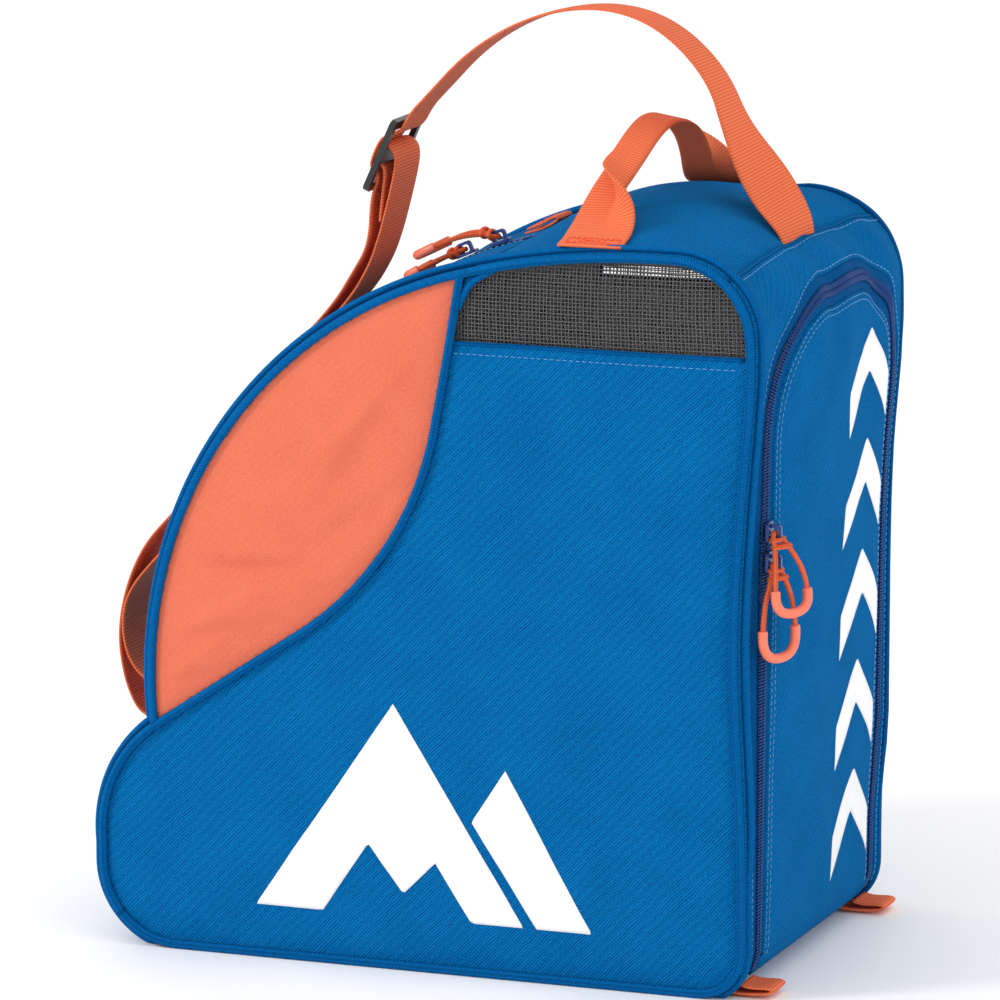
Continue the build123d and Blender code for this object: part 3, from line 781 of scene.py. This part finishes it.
def mesh_window(sign, side):
    """Woven screen: threads both ways, passing over and under each other."""
    pitch, radius, depth, wave = 2.2, 0.36, 2.2, 0.42
    seed = CRUMPLE_SEED[sign]
    pieces = []
    window_loop = under_piping(WINDOW_LOOP, 2.0)
    low, high = window_loop.min(0), window_loop.max(0)
    for axis in (0, 1):
        other = 1 - axis
        lines = np.arange(low[axis] + pitch / 2, high[axis], pitch)
        along = np.arange(low[other], high[other], pitch / 2)
        for number, at in enumerate(lines):
            plane = np.zeros((len(along), 2))
            plane[:, axis], plane[:, other] = at, along
            ok = inside(plane, window_loop)
            count = np.flatnonzero(ok)
            if len(count) < 4:
                continue
            plane = plane[count[0]:count[-1] + 1]
            weave = wave * np.cos(np.pi * (np.arange(len(plane)) + count[0]) + np.pi * (number + axis))
            weave *= (np.arange(len(plane)) + count[0]) % 2 == 0
            sag = 1.4 * crumple(plane, 30, seed + 1)
            plane = plane + 0.25 * np.stack([crumple(plane, 25, 4.0), crumple(plane, 25, 9.0)], axis=1)
            y = sign * (side_y(plane, seed) - depth + sag * swell(plane, SEAMS, 10) + weave)
            points, uv = tube_points(at_y(plane, y), radius, 4)
            pieces.append((points, tube_faces(len(plane), 4), uv))
    window = merged("mesh_screen_" + side, pieces, "mesh")
    finished(window, "bag", ["mesh_window_" + side])


def under_piping(loop, reach=2.4):
    """A panel's outline with the margin that runs into the seam."""
    return inset_line(resample(loop, 2.5, closed=True), -reach)


def window_corner(sign, side):
    """The rounded upper front corner of the window: a piece of fabric edged with piping."""
    loop = resample(WINDOW_LOOP, 1.0, closed=True)
    if anticlockwise(loop):
        loop = loop[::-1]
    corner = int(np.argmin(loop[:, 0] * 0.8 - loop[:, 1]))
    reach = 19                      # points on each side of the corner, 1 mm apart
    before, after = np.roll(loop, -corner, axis=0)[-reach:], np.roll(loop, -corner, axis=0)[:reach + 1]
    t = np.linspace(0, 1, 16)[:, None]
    curve = before[0] * (1 - t) ** 2 + 2 * loop[corner] * t * (1 - t) + after[-1] * t ** 2
    patch = np.vstack([curve, after[::-1], before[::-1][:-1]])
    piece = region_mesh("window_corner_" + side, patch, 2.0, side_surface(sign, 0.4), ("blue",), 0.8, False)
    finished(piece, "bag")
    path = at_y(curve, sign * (side_y(curve, CRUMPLE_SEED[sign]) + 0.5))
    last = len(path) - 1
    radius = 1.9 * np.interp(np.arange(len(path)), [0, 3, last - 3, last], [0.4, 1, 1, 0.4])
    finished(tube("window_corner_piping_" + side, path, radius, "piping", 10), "bag")


def make_side(sign, side):
    surface = side_surface(sign)
    blue = region_mesh("side_fabric_" + side, under_piping(SIDE_LOOP), 3.2, surface)
    finished(blue, "bag", ["side_panel_" + side])
    orange = region_mesh("toe_side_fabric_" + side, under_piping(TOE_LOOP), 3.2, surface, ("orange",))
    finished(orange, "bag", ["toe_side_panel_" + side])
    mesh_window(sign, side)
    window_corner(sign, side)
    film_surface = side_surface(sign, 0.34)
    for number, loop in enumerate(PRINT_LOOPS):
        film = region_mesh(f"side_mark_{side}_{number}", loop, 3.0, film_surface, ("print",), 0.3, False)
        finished(film, "bag", ["side_print_" + side] if number == 0 else [])
    side_piping(sign, side)
    window_hem(sign, side)
    line = np.array([(22.0, WINDOW_Z - 3.4), (190.0, WINDOW_Z - 3.4)])
    stitches("window_stitches_" + side, surface, line, "bag")


def side_piping(sign, side):
    """The piping round the side's blue fabric, and along the front."""
    path = at_y(smoothed(inset_line(BLUE_LOOP, PIPING_INSET), 2), sign * PIPING_Y)
    path[:, 2] = np.maximum(path[:, 2], PIPING_R + 0.05)
    piping = tube("blue_piping_" + side, path, PIPING_R, "piping", 12, closed=True)
    finished(piping, "bag", ["side_piping_" + side])
    centre = np.array(FRONT_CENTRE)
    front = centre + (resample(FRONT_RUN, 3)[1:] - centre) * (FRONT_R - PIPING_INSET) / FRONT_R
    piping = tube("front_piping_" + side + "_cover", at_y(front, sign * PIPING_Y), PIPING_R, "piping", 12)
    finished(piping, "bag", ["front_piping_" + side])


def window_hem(sign, side):
    """The folded hem of the blue fabric along the window's foot."""
    low, high = WINDOW_Z + 2.6, WINDOW_Z + 2.9
    hem = resample([(20.0, low), (60, high), (130, high), (193.5, low)], 4)
    y = sign * (side_y(hem - (0, 3.2), CRUMPLE_SEED[sign]) + 0.2)
    finished(tube("window_hem_" + side, at_y(hem, y), 1.15, "piping", 8), "bag")


# ---------------------------------------------------------------- gussets, base and top
def rectangle(y_low, y_high, s_low, s_high):
    return np.array([(y_low, s_low), (y_high, s_low), (y_high, s_high), (y_low, s_high)], float)


def edge_roll(name, line, sign):
    """The gusset's folded edge, a soft roll beside the piping."""
    tangent = unit(np.gradient(line, axis=0))
    inward = np.stack([tangent[:, 1], -tangent[:, 0]], axis=1)
    centre = line + inward * 2.0
    wobble = 0.25 * crumple(centre, 16, 5.0)
    foot = np.clip((100 - centre[:, 1]) / 30, 0, 1) * (centre[:, 0] > 150)
    path = at_y(centre, sign * (119.3 + wobble + 0.9 * foot))
    path[:, 0] -= 1.8 * foot
    path[:, 2] = np.maximum(path[:, 2], 2.35)
    finished(tube(name, path, 2.3, "piping", 10), "bag")


def make_front_gussets():
    length = run_length(FRONT_RUN)[-1]
    for sign, side in SIDES:
        y_range = (FABRIC, GROOVE_Y) if sign > 0 else (-GROOVE_Y, -FABRIC)
        surface = run_surface(FRONT_RUN, 1.2, 0.9, 3.0 + sign, y_range)
        panel = region_mesh("front_fabric_" + side, rectangle(*y_range, 0.5, length - 0.3), 3.5, surface)
        finished(panel, "bag", ["front_gusset_" + side])
        offset = FABRIC + 1.6
        line = np.array([(sign * offset, 12.0), (sign * offset, length - 2)])
        stitches(f"front_zip_stitches_{side}_0", lifted_run(FRONT_RUN, surface), line, "bag")


def make_whole_gussets():
    """The panels as wide as the bag: toe, base and top."""
    floor_run = BASE_RUN + np.array([0.0, 0.35])
    across = (-GROOVE_Y, GROOVE_Y)
    toe = run_surface(TOE_RUN, 0.7, 0.9, 6.2, across)
    base = run_surface(floor_run, -0.1, 0.0, 1.0, across)
    toe_end, base_end = run_length(TOE_RUN)[-1] - 0.2, run_length(BASE_RUN)[-1] - 0.2
    rows = (("toe_fabric", "toe_gusset", toe, 0.4, toe_end, 4.0),
            ("base_fabric", "base_panel", base, 0.2, base_end, 5.0),
            ("top_fabric", "top_panel", top_surface, 1.0, TOP_LENGTH, 4.0))
    for name, node, surface, start, end, pitch in rows:
        panel = region_mesh(name, rectangle(*across, start, end), pitch, surface)
        finished(panel, "bag", [node])


def make_gusset_edges():
    """The folded edges and seams, and the binding inside them."""
    side_top = np.vstack([arc_through(*TOP_SIDE, 60), arc(SHOULDER, SHOULDER_R, 90, 0, 40)[1:],
                          [(200, 200)], [(200, 28)], arc(FOOT_CENTRE, FOOT_R, 0, -90, 20)[1:]])[::-1]
    whole = resample(np.vstack([side_top, FRONT_RUN[2:], TOE_RUN[1:], BASE_RUN[1:2]]), 3)
    for sign, side in SIDES:
        edge_roll("gusset_edge_" + side, whole, sign)
    ys = np.linspace(-119, 119, 60)
    for name, (x, z) in (("top_front_seam_roll", (34.2, 413.9)), ("toe_seam_roll", (-165.2, 133.4))):
        roll = np.stack([np.full(60, x), ys, np.full(60, z)], axis=1)
        finished(tube(name, roll, 1.6, "piping", 10), "bag")
    inner = inset_line(whole, 6.2)[:-1:2]
    inner[:, 1] = np.maximum(inner[:, 1], 6.0)
    for sign, side in SIDES:
        path = smoothed(at_y(inner, sign * 117.2), 2)
        finished(tube("inner_binding_" + side, path, 1.9, "binding", 8, closed=True), "bag")
    base_line = resample(BASE_RUN, 3)
    for sign, side in SIDES:
        edge_roll("base_edge_" + side, base_line, sign)


def lifted_run(line, surface):
    def lifted(plane, lift):
        p = surface(plane)
        _, n = along_run(line, plane[:, 1])
        return p + np.stack([n[:, 0], np.zeros(len(n)), n[:, 1]], axis=1) * np.asarray(lift)[:, None]
    return lifted


# ---------------------------------------------------------------- heel
def heel_fabric(puff, rough, seed, loops):
    def surface(plane):
        near = swell(plane, loops, 12)
        lift = puff * near + rough * crumple(plane, 48, seed) * near
        return heel_point(plane, lift)
    return surface


def heel_lifted(surface):
    def lifted(plane, lift):
        p = surface(plane)
        ahead = surface(plane + (0.4, 0.0)) - surface(plane - (0.4, 0.0))
        up = surface(plane + (0.0, 0.4)) - surface(plane - (0.0, 0.4))
        n = unit(np.cross(ahead, up))
        n *= np.sign(n[:, :1] + 1e-9)
        return p + n * np.asarray(lift)[:, None]
    return lifted


def zip_teeth(name, surface, line, side_sign, pitch=1.9):
    """One row of a coil zip: a small rounded loop of nylon at each pitch."""
    at = resample(line, pitch)
    tangent = unit(np.gradient(at, axis=0))
    inward = np.stack([-tangent[:, 1], tangent[:, 0]], axis=1) * side_sign
    pieces = []
    steps = np.array([-1.55, -1.2, 0.0, 1.2, 1.75])
    lift = np.array([-0.5, 0.35, 0.6, 0.55, -0.1])
    width = np.array([0.55, 0.66, 0.66, 0.72, 0.5])
    for p, n in zip(at, inward):
        plane = p + n * steps[:, None]
        rings, uv = tube_points(surface(plane, lift), width, 6)
        pieces.append((rings, tube_faces(5, 6), uv))
    return merged(name, pieces, "coil")


def tape_mesh(name, surface, line_a, line_b, lift=-0.5, columns=4):
    """A strip of tape between two lines with as many points each."""
    shares = np.linspace(0, 1, columns + 1)
    plane = line_a[:, None, :] * (1 - shares[None, :, None]) + line_b[:, None, :] * shares[None, :, None]
    rows = plane.shape[0]
    plane = plane.reshape(-1, 2)
    points = surface(plane, np.full(len(plane), lift))
    run = run_length(line_a)
    uv = np.stack([np.tile(shares * 6, rows), np.repeat(run, columns + 1)], axis=1)
    obj = make_object(name, points, grid_faces(rows, columns + 1), uv, ("tape",))
    solidify(obj, 0.8)
    return obj


def make_heel_frame():
    low, high = 0.6, HEEL_S[0] - 0.1
    outer_u = u_on_heel(FABRIC)
    outer_u = np.vstack([[(outer_u[0][0], low)], outer_u, [(outer_u[-1][0], low)]])
    edge = [(-GROOVE_Y, low), (-GROOVE_Y, high), (GROOVE_Y, high), (GROOVE_Y, low)]
    ring = np.vstack([edge, outer_u[::-1]])
    surface = heel_fabric(1.4, 0.8, 4.4, [resample(ring, 5, closed=True)])
    panel = region_mesh("heel_frame_fabric", ring, 3.0, surface)
    finished(panel, "bag", ["heel_frame"])
    across = np.linspace(-118.0, 118.0, 60)
    ridge = heel_point(np.stack([across, np.full(60, HEEL_S[0] - 0.4)], axis=1), -0.5)
    finished(tube("top_seam_roll", ridge, 1.5, "piping", 10), "bag")
    lifted = heel_lifted(surface)
    stitches("top_seam_stitches", lifted, np.array([(-118.0, high - 5), (118.0, high - 5)]), "bag")
    stitches("heel_zip_stitches_outer", lifted, u_on_heel(FABRIC + 1.8), "bag")
    return lifted


def make_flap():
    loop = u_on_heel(-FABRIC)
    surface = heel_fabric(2.6, 1.9, 9.1, [resample(loop, 5, closed=True)])
    lifted = heel_lifted(surface)
    flap = region_mesh("heel_flap_fabric", loop, 3.2, surface)
    finished(flap, "flap", ["heel_flap"])
    for row, grow in enumerate((-FABRIC - 1.8, -FABRIC - 5.0)):
        stitches(f"heel_zip_stitches_inner_{row}", lifted, u_on_heel(grow)[3:-3], "flap")

    def film_surface(plane):
        return lifted(plane, np.full(len(plane), 0.34))
    first, step, rise, thick = 40, 66, 34, 26       # the chevrons' heights and shape
    for number in range(5):
        z = first + step * number
        shape = np.array([(12, z), (50, z + rise), (88, z), (88, z + thick), (50, z + rise + thick),
                          (12, z + thick)], float)
        outline = heel_plane(resample(shape, 2, closed=True))
        film = region_mesh(f"heel_mark_{number}", outline, 3.0, film_surface, ("print",), 0.3, False)
        finished(film, "flap", ["heel_print"] if number == 0 else [])
    return lifted


def make_heel_zip():
    def flat(plane, lift):
        return heel_point(plane, np.asarray(lift) - ZIP_SINK)
    for row, body, sign in (("outer", "bag", 1), ("inner", "flap", -1)):
        lines = [resample(u_on_heel(sign * grow), 1) for grow in (TAPE_EDGE, FABRIC + 0.6)]
        lines = [resample(line, run_length(line)[-1] / 420) for line in lines]
        shortest = min(len(line) for line in lines)
        tape = tape_mesh("heel_tape_" + row, flat, lines[0][:shortest], lines[1][:shortest])
        finished(tape, body, ["heel_zip_tape_" + row])
        teeth = zip_teeth("heel_coil_" + row, flat, u_on_heel(sign * COIL_LINE), sign)
        finished(teeth, body, ["heel_zip_coil_" + row])


def make_heel():
    edges = (("frame", "bag", FABRIC + 1.0, make_heel_frame()), ("flap", "flap", -FABRIC - 1.0, make_flap()))
    for row, body, grow, lifted in edges:
        line = u_on_heel(grow)
        edge = lifted(line, np.full(len(line), -3.4))
        finished(tube(row + "_edge_binding", edge, 1.5, "binding", 8), body)
    make_heel_zip()


def make_front_zip():
    length = run_length(FRONT_RUN)[-1]
    base = run_surface(FRONT_RUN, 0.0, 0.0, 1.0, (-GROOVE_Y, GROOVE_Y))
    lifted = lifted_run(FRONT_RUN, base)

    def flat(plane, lift):
        return lifted(plane, np.asarray(lift) - ZIP_SINK)
    s = np.arange(1.0, length - 1.0, 3.0)
    for sign, side in SIDES:
        lines = [np.stack([np.full(len(s), sign * y), s], axis=1) for y in (TAPE_EDGE, FABRIC + 0.6)]
        tape = tape_mesh("front_tape_" + side, flat, *lines)
        finished(tape, "bag", ["front_zip_tape_" + side])
        line = np.array([(sign * COIL_LINE, 1.5), (sign * COIL_LINE, length - 1.5)])
        teeth = zip_teeth("front_coil_" + side, flat, line, sign)
        finished(teeth, "bag", ["front_zip_coil_" + side])


# ---------------------------------------------------------------- webbing
def smooth_route(points):
    """The smooth line that a strip of webbing takes round its control points, divided into ribs."""
    p = np.asarray(points, float)
    middles = (p[:-1] + p[1:]) / 2
    line = [p[:1]]
    t = np.linspace(0, 1, 24)[:, None]
    for before, corner, after in zip(middles[:-1], p[1:-1], middles[1:]):
        line.append(before * (1 - t) ** 2 + 2 * corner * t * (1 - t) + after * t ** 2)
    line.append(p[-1:])
    return resample(np.vstack(line), RIB_STEP)


def webbing(name, path, across, width=WEBBING, columns=12, section=None, twist=None, rib=0.09):
    """A ribbed strip along a 3-D path. across is its width's direction; section(t, s) places the
    cross-section's point t at share s of the way, as (along the width, along the normal)."""
    run = run_length(path)
    tangent = unit(np.gradient(path, axis=0))
    across = np.broadcast_to(np.asarray(across, float), path.shape)
    normal = unit(np.cross(tangent, across))
    across = np.cross(normal, tangent)
    if twist is not None:
        angle = twist(run)[:, None]
        across, normal = (across * np.cos(angle) + normal * np.sin(angle),
                          normal * np.cos(angle) - across * np.sin(angle))
    t = np.linspace(-width / 2, width / 2, columns + 1)
    share = run / run[-1]
    if section is None:
        crown = -0.35 * (2 * t / width) ** 2
        flat, lift = np.broadcast_to(t, (len(path), len(t))), np.broadcast_to(crown, (len(path), len(t)))
    else:
        flat, lift = section(t[None, :], share[:, None])
    ribs = rib * (-1.0) ** np.arange(len(path))
    lift = lift + ribs[:, None]
    points = path[:, None, :] + flat[..., None] * across[:, None, :] + lift[..., None] * normal[:, None, :]
    rows, cols = len(path), columns + 1
    uv = np.stack([np.repeat(run, cols), np.tile(t, rows)], axis=1)
    obj = make_object(name, points.reshape(-1, 3), grid_faces(rows, cols), uv, ("webbing",))
    solidify(obj, 1.25)
    return obj


def flat_route(points, y=0.0):
    return at_y(smooth_route(points), y)


def buckle(s, h):
    """A point (x, z) along and across the tri-glide buckle, from its middle."""
    low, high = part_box("strap_buckle")
    centre = ((low + high) / 2) / MM
    sine, cosine = math.sin(math.radians(24)), math.cos(math.radians(24))
    return (centre.x - s * sine - h * cosine, centre.z - s * cosine + h * sine)


def make_strap():
    route = [
        (187.5, 421), (184.5, 431), (171, 449), (150, 482), (138, 514), (108, 542), (72, 552), (30, 545),
        (-8, 524), (-38, 492), buckle(-30, -5), buckle(-16, -3.9), buckle(-12, 2.6), buckle(-7.5, 5.6),
        buckle(7.5, 5.6), buckle(11, 2.8), buckle(13.8, -3), buckle(26, -3),
        (-71, 406), (-82, 387.5), (-93, 369.5), (-120.4, 339.4), (-149.3, 300.8), (-174.9, 258.8),
        (-196.7, 236.4), (-215.6, 216.4), (-228.2, 190), (-234, 162), (-231.3, 136), (-224, 117),
        (-216, 110), (-206, 109.5), (-197.3, 113), (-196, 122), (-199, 130), (-207, 133.5),
        (-217, 137), (-226, 149), (-229.5, 168), (-225.5, 188), (-204.5, 213), (-186, 232),
        (-169.3, 256.7), (-144.6, 298), (-117, 336.5), (-83.5, 371), (-70, 393), (-64, 410),
        buckle(33, -16.2), buckle(14, -13), buckle(-1, -9.5), buckle(-6.4, -4.5), buckle(-6.4, 2),
        buckle(-5, 3.5), buckle(5, 3.5), buckle(6.4, 2), buckle(6.4, -4.2), buckle(20, -8.4), buckle(37, -14),
    ]
    path = flat_route(route)

    def twist(run):
        root = -0.42 * bell(run, 34, 34) + 0.06 * bell(run, 170, 60)
        front = 0.10 * np.sin(run / 70) * bell(run, 800, 260)
        return root + front
    strap = webbing("strap_webbing", path, (0, -1, 0), twist=twist)
    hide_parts("shoulder_strap")
    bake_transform(strap)


def handle_section(t, share):
    """Flat at the ends; between them the near half is folded under the far one."""
    from_end = np.minimum(share, 1 - share)
    fold = np.clip((from_end - 0.07) / np.where(share < 0.5, 0.25, 0.33), 0, 1)
    fold = fold * fold * (3 - 2 * fold)
    angle = np.radians(168) * fold
    shift = WEBBING / 4 * fold
    folded = np.maximum(t, 0)
    flat = np.minimum(t, 0) + folded * np.cos(angle) + shift
    cupped = 1 - 0.5 * np.clip((share - 0.45) / 0.2, 0, 1)
    lift = -folded * np.sin(angle) * cupped - 0.5 * fold * (t > 0)
    return flat, lift


def make_handle():
    low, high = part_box("grab_handle")
    middle_x = (low.x + high.x) / 2 / MM
    half = [(-122.5, 430.2), (-111, 432.6), (-99, 435.4), (-87, 440), (-76, 447.4), (-65, 457.5), (-50, 470),
            (-28, 481.5)]
    route = half + [(0, high.z / MM - 1.5)] + [(-y, z) for y, z in reversed(half)]
    line = smooth_route(route)
    path = np.stack([np.full(len(line), middle_x), line[:, 0], line[:, 1]], axis=1)
    path[:, 0] -= 5.0 * bell(line[:, 0], -72, 26) - 3.0 * bell(line[:, 0], 70, 30)
    handle = webbing("handle_webbing", path, (1, 0, 0), columns=16, section=handle_section)
    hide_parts("grab_handle", "grab_handle_end_left", "grab_handle_end_right")
    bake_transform(handle)


def strap_stitches(name, centre, u, v, normal, width, length=8):
    """A sewn box with a cross on webbing, all of thread."""
    corners = [(-1, -1), (1, -1), (1, 1), (-1, 1)]
    c, u, v, n = (np.asarray(a, float) for a in (centre, u, v, normal))
    pieces = []
    steps = np.array([0, 0.2, 0.5, 0.8, 1.0])[:, None]
    rise = np.array([-0.2, 0.2, 0.36, 0.2, -0.2])[:, None]
    thread = np.array([0.18, 0.36, 0.36, 0.36, 0.18])
    sides = [(corners[i], corners[(i + 1) % 4]) for i in range(4)]
    for (ax, ay), (bx, by) in sides + [(corners[0], corners[2]), (corners[1], corners[3])]:
        a, b = c + u * ax * width / 2 + v * ay * length / 2, c + u * bx * width / 2 + v * by * length / 2
        count = max(1, int(np.linalg.norm(b - a) / 3.4))
        for k in range(count):
            p, q = a + (b - a) * k / count, a + (b - a) * (k + 0.68) / count
            rings, uv = tube_points(p + (q - p) * steps + n * rise, thread, 6)
            pieces.append((rings, tube_faces(5, 6), uv))
    finished(merged(name, pieces, "thread_orange"), "bag")


def make_tab(name, node, route, width, y=0.0):
    tab = webbing(name, flat_route(route, y), (0, -1, 0), width=width, columns=8, rib=0.07)
    finished(tab, "bag", [node])


def make_tabs():
    for side in ("left", "right"):
        node = "zip_tab_heel_" + side
        low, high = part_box(node)
        route = [(186, 2.2), (196, 1.7), (206, 2.4), (212.5, 3.6), (213.6, 5.6), (210, 7.0), (200, 6.2),
                 (194, 7.6)]
        make_tab("heel_tab_" + side, node, route, 23.4, (low.y + high.y) / 2 / MM)
    route = [(24, 416.2), (34, 419.2), (42, 423.4), (45, 426.4), (42.5, 428), (34, 423), (25, 419.2)]
    make_tab("front_tab", "zip_tab_front", route, 23.4)
    route = [(-190.4, 107.5), (-192.2, 113), (-191.8, 119), (-186.6, 122.2), (-181.5, 121.0)]
    make_tab("ring_tab", "toe_ring_tab", route, 34)
    strap_stitches("front_tab_stitches", (33.5, 0, 423.6), (0, 1, 0), (0.87, 0, 0.49), (-0.49, 0, 0.87), 17)
    for sign, side in SIDES:
        strap_stitches("handle_stitches_" + side, (103.5, sign * 115.5, 432.6), (1, 0, 0),
                       (0, 0.98, -sign * 0.2), (0, sign * 0.2, 0.98), 31)


# ---------------------------------------------------------------- zip pulls
# the cords' routes, as in the CAD, in metres
PULLS = {
    "heel_pull_upper": ([
        (0.2087, -0.1037, 0.270), (0.2092, -0.0999, 0.2685), (0.2156, -0.0996, 0.262),
        (0.2228, -0.0916, 0.246), (0.226, -0.0916, 0.224), (0.2134, -0.1154, 0.224),
        (0.212, -0.1118, 0.248), (0.2107, -0.1089, 0.262), (0.2089, -0.1081, 0.2685),
        (0.2087, -0.1043, 0.270)], (1, 0, 0)),
    "heel_pull_lower": ([
        (0.2087, -0.1037, 0.2525), (0.209, -0.0999, 0.251), (0.2134, -0.0994, 0.2435),
        (0.2171, -0.0934, 0.2275), (0.2183, -0.0921, 0.1975), (0.2057, -0.1159, 0.1975),
        (0.2059, -0.1146, 0.2275), (0.2086, -0.1086, 0.2435), (0.2089, -0.1081, 0.251),
        (0.2087, -0.1043, 0.2525)], (1, 0, 0)),
    "front_pull_upper": ([
        (0.0036, 0.0003, 0.4115), (0.0018, 0.0041, 0.4121), (-0.0057, 0.0054, 0.4136),
        (-0.0213, 0.0115, 0.4111), (-0.0461, 0.0135, 0.3985), (-0.0461, -0.0135, 0.3985),
        (-0.0213, -0.0115, 0.4111), (-0.0057, -0.0054, 0.4136), (0.0018, -0.0041, 0.4121),
        (0.0036, -0.0003, 0.4115)], (-0.33, 0, 0.94)),
    "front_pull_lower": ([
        (-0.0174, 0.0003, 0.4032), (-0.0188, 0.0041, 0.4027), (-0.0258, 0.0052, 0.3999),
        (-0.0357, 0.0105, 0.3951), (-0.0514, 0.0135, 0.3862), (-0.0514, -0.0135, 0.3862),
        (-0.0357, -0.0105, 0.3951), (-0.0258, -0.0052, 0.3999), (-0.0188, -0.0041, 0.4027),
        (-0.0174, -0.0003, 0.4032)], (-0.41, 0, 0.91)),
}
CORD_D, GRIP_D, GRIP_START = 0.0028, 0.0056, 0.42


def nurbs_line(name, route):
    """Points of the smooth spline that has the route as its control points."""
    curve = bpy.data.curves.new(name, "CURVE")
    curve.dimensions = "3D"
    curve.resolution_u = 40
    spline = curve.splines.new("NURBS")
    spline.points.add(len(route) - 1)
    for point, place in zip(spline.points, route):
        point.co = (*place, 1)
    spline.order_u = 3
    spline.use_endpoint_u = True
    obj = bpy.data.objects.new(name, curve)
    bpy.context.scene.collection.objects.link(obj)
    bpy.context.view_layer.update()
    graph = bpy.context.evaluated_depsgraph_get()
    mesh = bpy.data.meshes.new_from_object(obj.evaluated_get(graph))
    line = np.array([v.co for v in mesh.vertices])
    bpy.data.objects.remove(obj)
    bpy.data.meshes.remove(mesh)
    return line


def grip_tube(name, line, points):
    """The soft tube on the loop's far bend, with a small lip at each end."""
    ends = [points[a] + (points[b] - points[a]) * GRIP_START for a, b in ((3, 4), (6, 5))]
    first, last = sorted(int(np.argmin(np.linalg.norm(line - e, axis=1))) for e in ends)
    bend = line[first:last + 1]
    share = np.linspace(0, 1, len(bend))
    lip = bell(share, 0, 0.03) + bell(share, 1, 0.03)
    rim = bell(share, 0, 0.008) + bell(share, 1, 0.008)
    grip = tube(name + "_tube", bend, (GRIP_D / MM / 2) * (1 + 0.05 * lip) - 0.7 * rim, "grip", 20)
    return finished(grip, name, [name + "_grip"])


def cord_knot(name, points, outward):
    """Two turns of the cord round its own two ends."""
    wraps, sides, ring_points = [], 10, 32
    around = np.linspace(0, 2 * np.pi, ring_points + 1)[:-1]
    for share in (0.35, 0.95):
        left = points[1] + (points[2] - points[1]) * share
        right = points[-2] + (points[-3] - points[-2]) * share
        middle, apart = (left + right) / 2, (right - left) / 2
        ring = middle + (1 + 1.2 / np.linalg.norm(apart)) * apart * np.cos(around)[:, None]
        ring = ring + np.array(outward, float) * (2.5 * np.sin(around))[:, None]
        rings, uv = tube_points(ring, 1.25, sides, closed=True)
        wraps.append((rings, tube_faces(ring_points, sides, closed=True), uv))
    return finished(merged(name + "_knot", wraps, "cord"), name)


def make_pull(name, route, outward):
    line = resample(nurbs_line(name + "_line", route) / MM, 0.45)
    cord = tube(name + "_braid", line, CORD_D / MM / 2, "cord", 12, braid=0.10)
    finished(cord, name, [name + "_cord"])
    points = np.array(route) / MM
    grip = grip_tube(name, line, points)
    knot = cord_knot(name, points, outward)


# ---------------------------------------------------------------- fold at the flap's foot
def make_sill():
    """The fabric that runs from the base into the flap, and folds there."""
    ys = np.linspace(-100, 100, 60)
    heights = np.array([9.5, 11, 12.5, 14, 15.5, 17, 19, 21])
    points, uv = [], []
    for z in heights:
        tau = heel_tau(ys, np.full(len(ys), max(z, 14.6)))
        above = HEEL_AT(ys, tau)
        below_x = FOOT_CENTRE[0] + math.sqrt(FOOT_R ** 2 - (FOOT_R - min(z, FOOT_R)) ** 2)
        share = np.clip((z - 11.5) / 5, 0, 1)
        x = below_x * (1 - share) + above[:, 0] * share
        points.append(np.stack([x + 0.55, ys, np.full(len(ys), z)], axis=1))
        uv.append(np.stack([ys, np.full(len(ys), z)], axis=1))
    fold = make_object("sill_fold", np.vstack(points), grid_faces(len(heights), len(ys)), np.vstack(uv))
    solidify(fold, 1.0)
    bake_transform(fold)


def dress_cad():
    """Better materials on the CAD nodes that stay."""
    kept = {"strap_buckle": "black", "toe_ring": "black", "base_board": "board"}
    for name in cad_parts:
        if "slider" in name:
            kept[name] = "paint"
    for name, key in kept.items():
        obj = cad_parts[name]
        for index in range(len(obj.data.materials)):
            obj.data.materials[index] = MATERIALS[key]


make_camera()
make_stage()
for pull, (pull_route, pull_out) in PULLS.items():
    make_pull(pull, pull_route, pull_out)
for side_sign, side_name in SIDES:
    make_side(side_sign, side_name)
make_front_gussets()
make_whole_gussets()
make_gusset_edges()
make_front_zip()
make_heel()
make_sill()
make_handle()
make_strap()
make_tabs()
dress_cad()
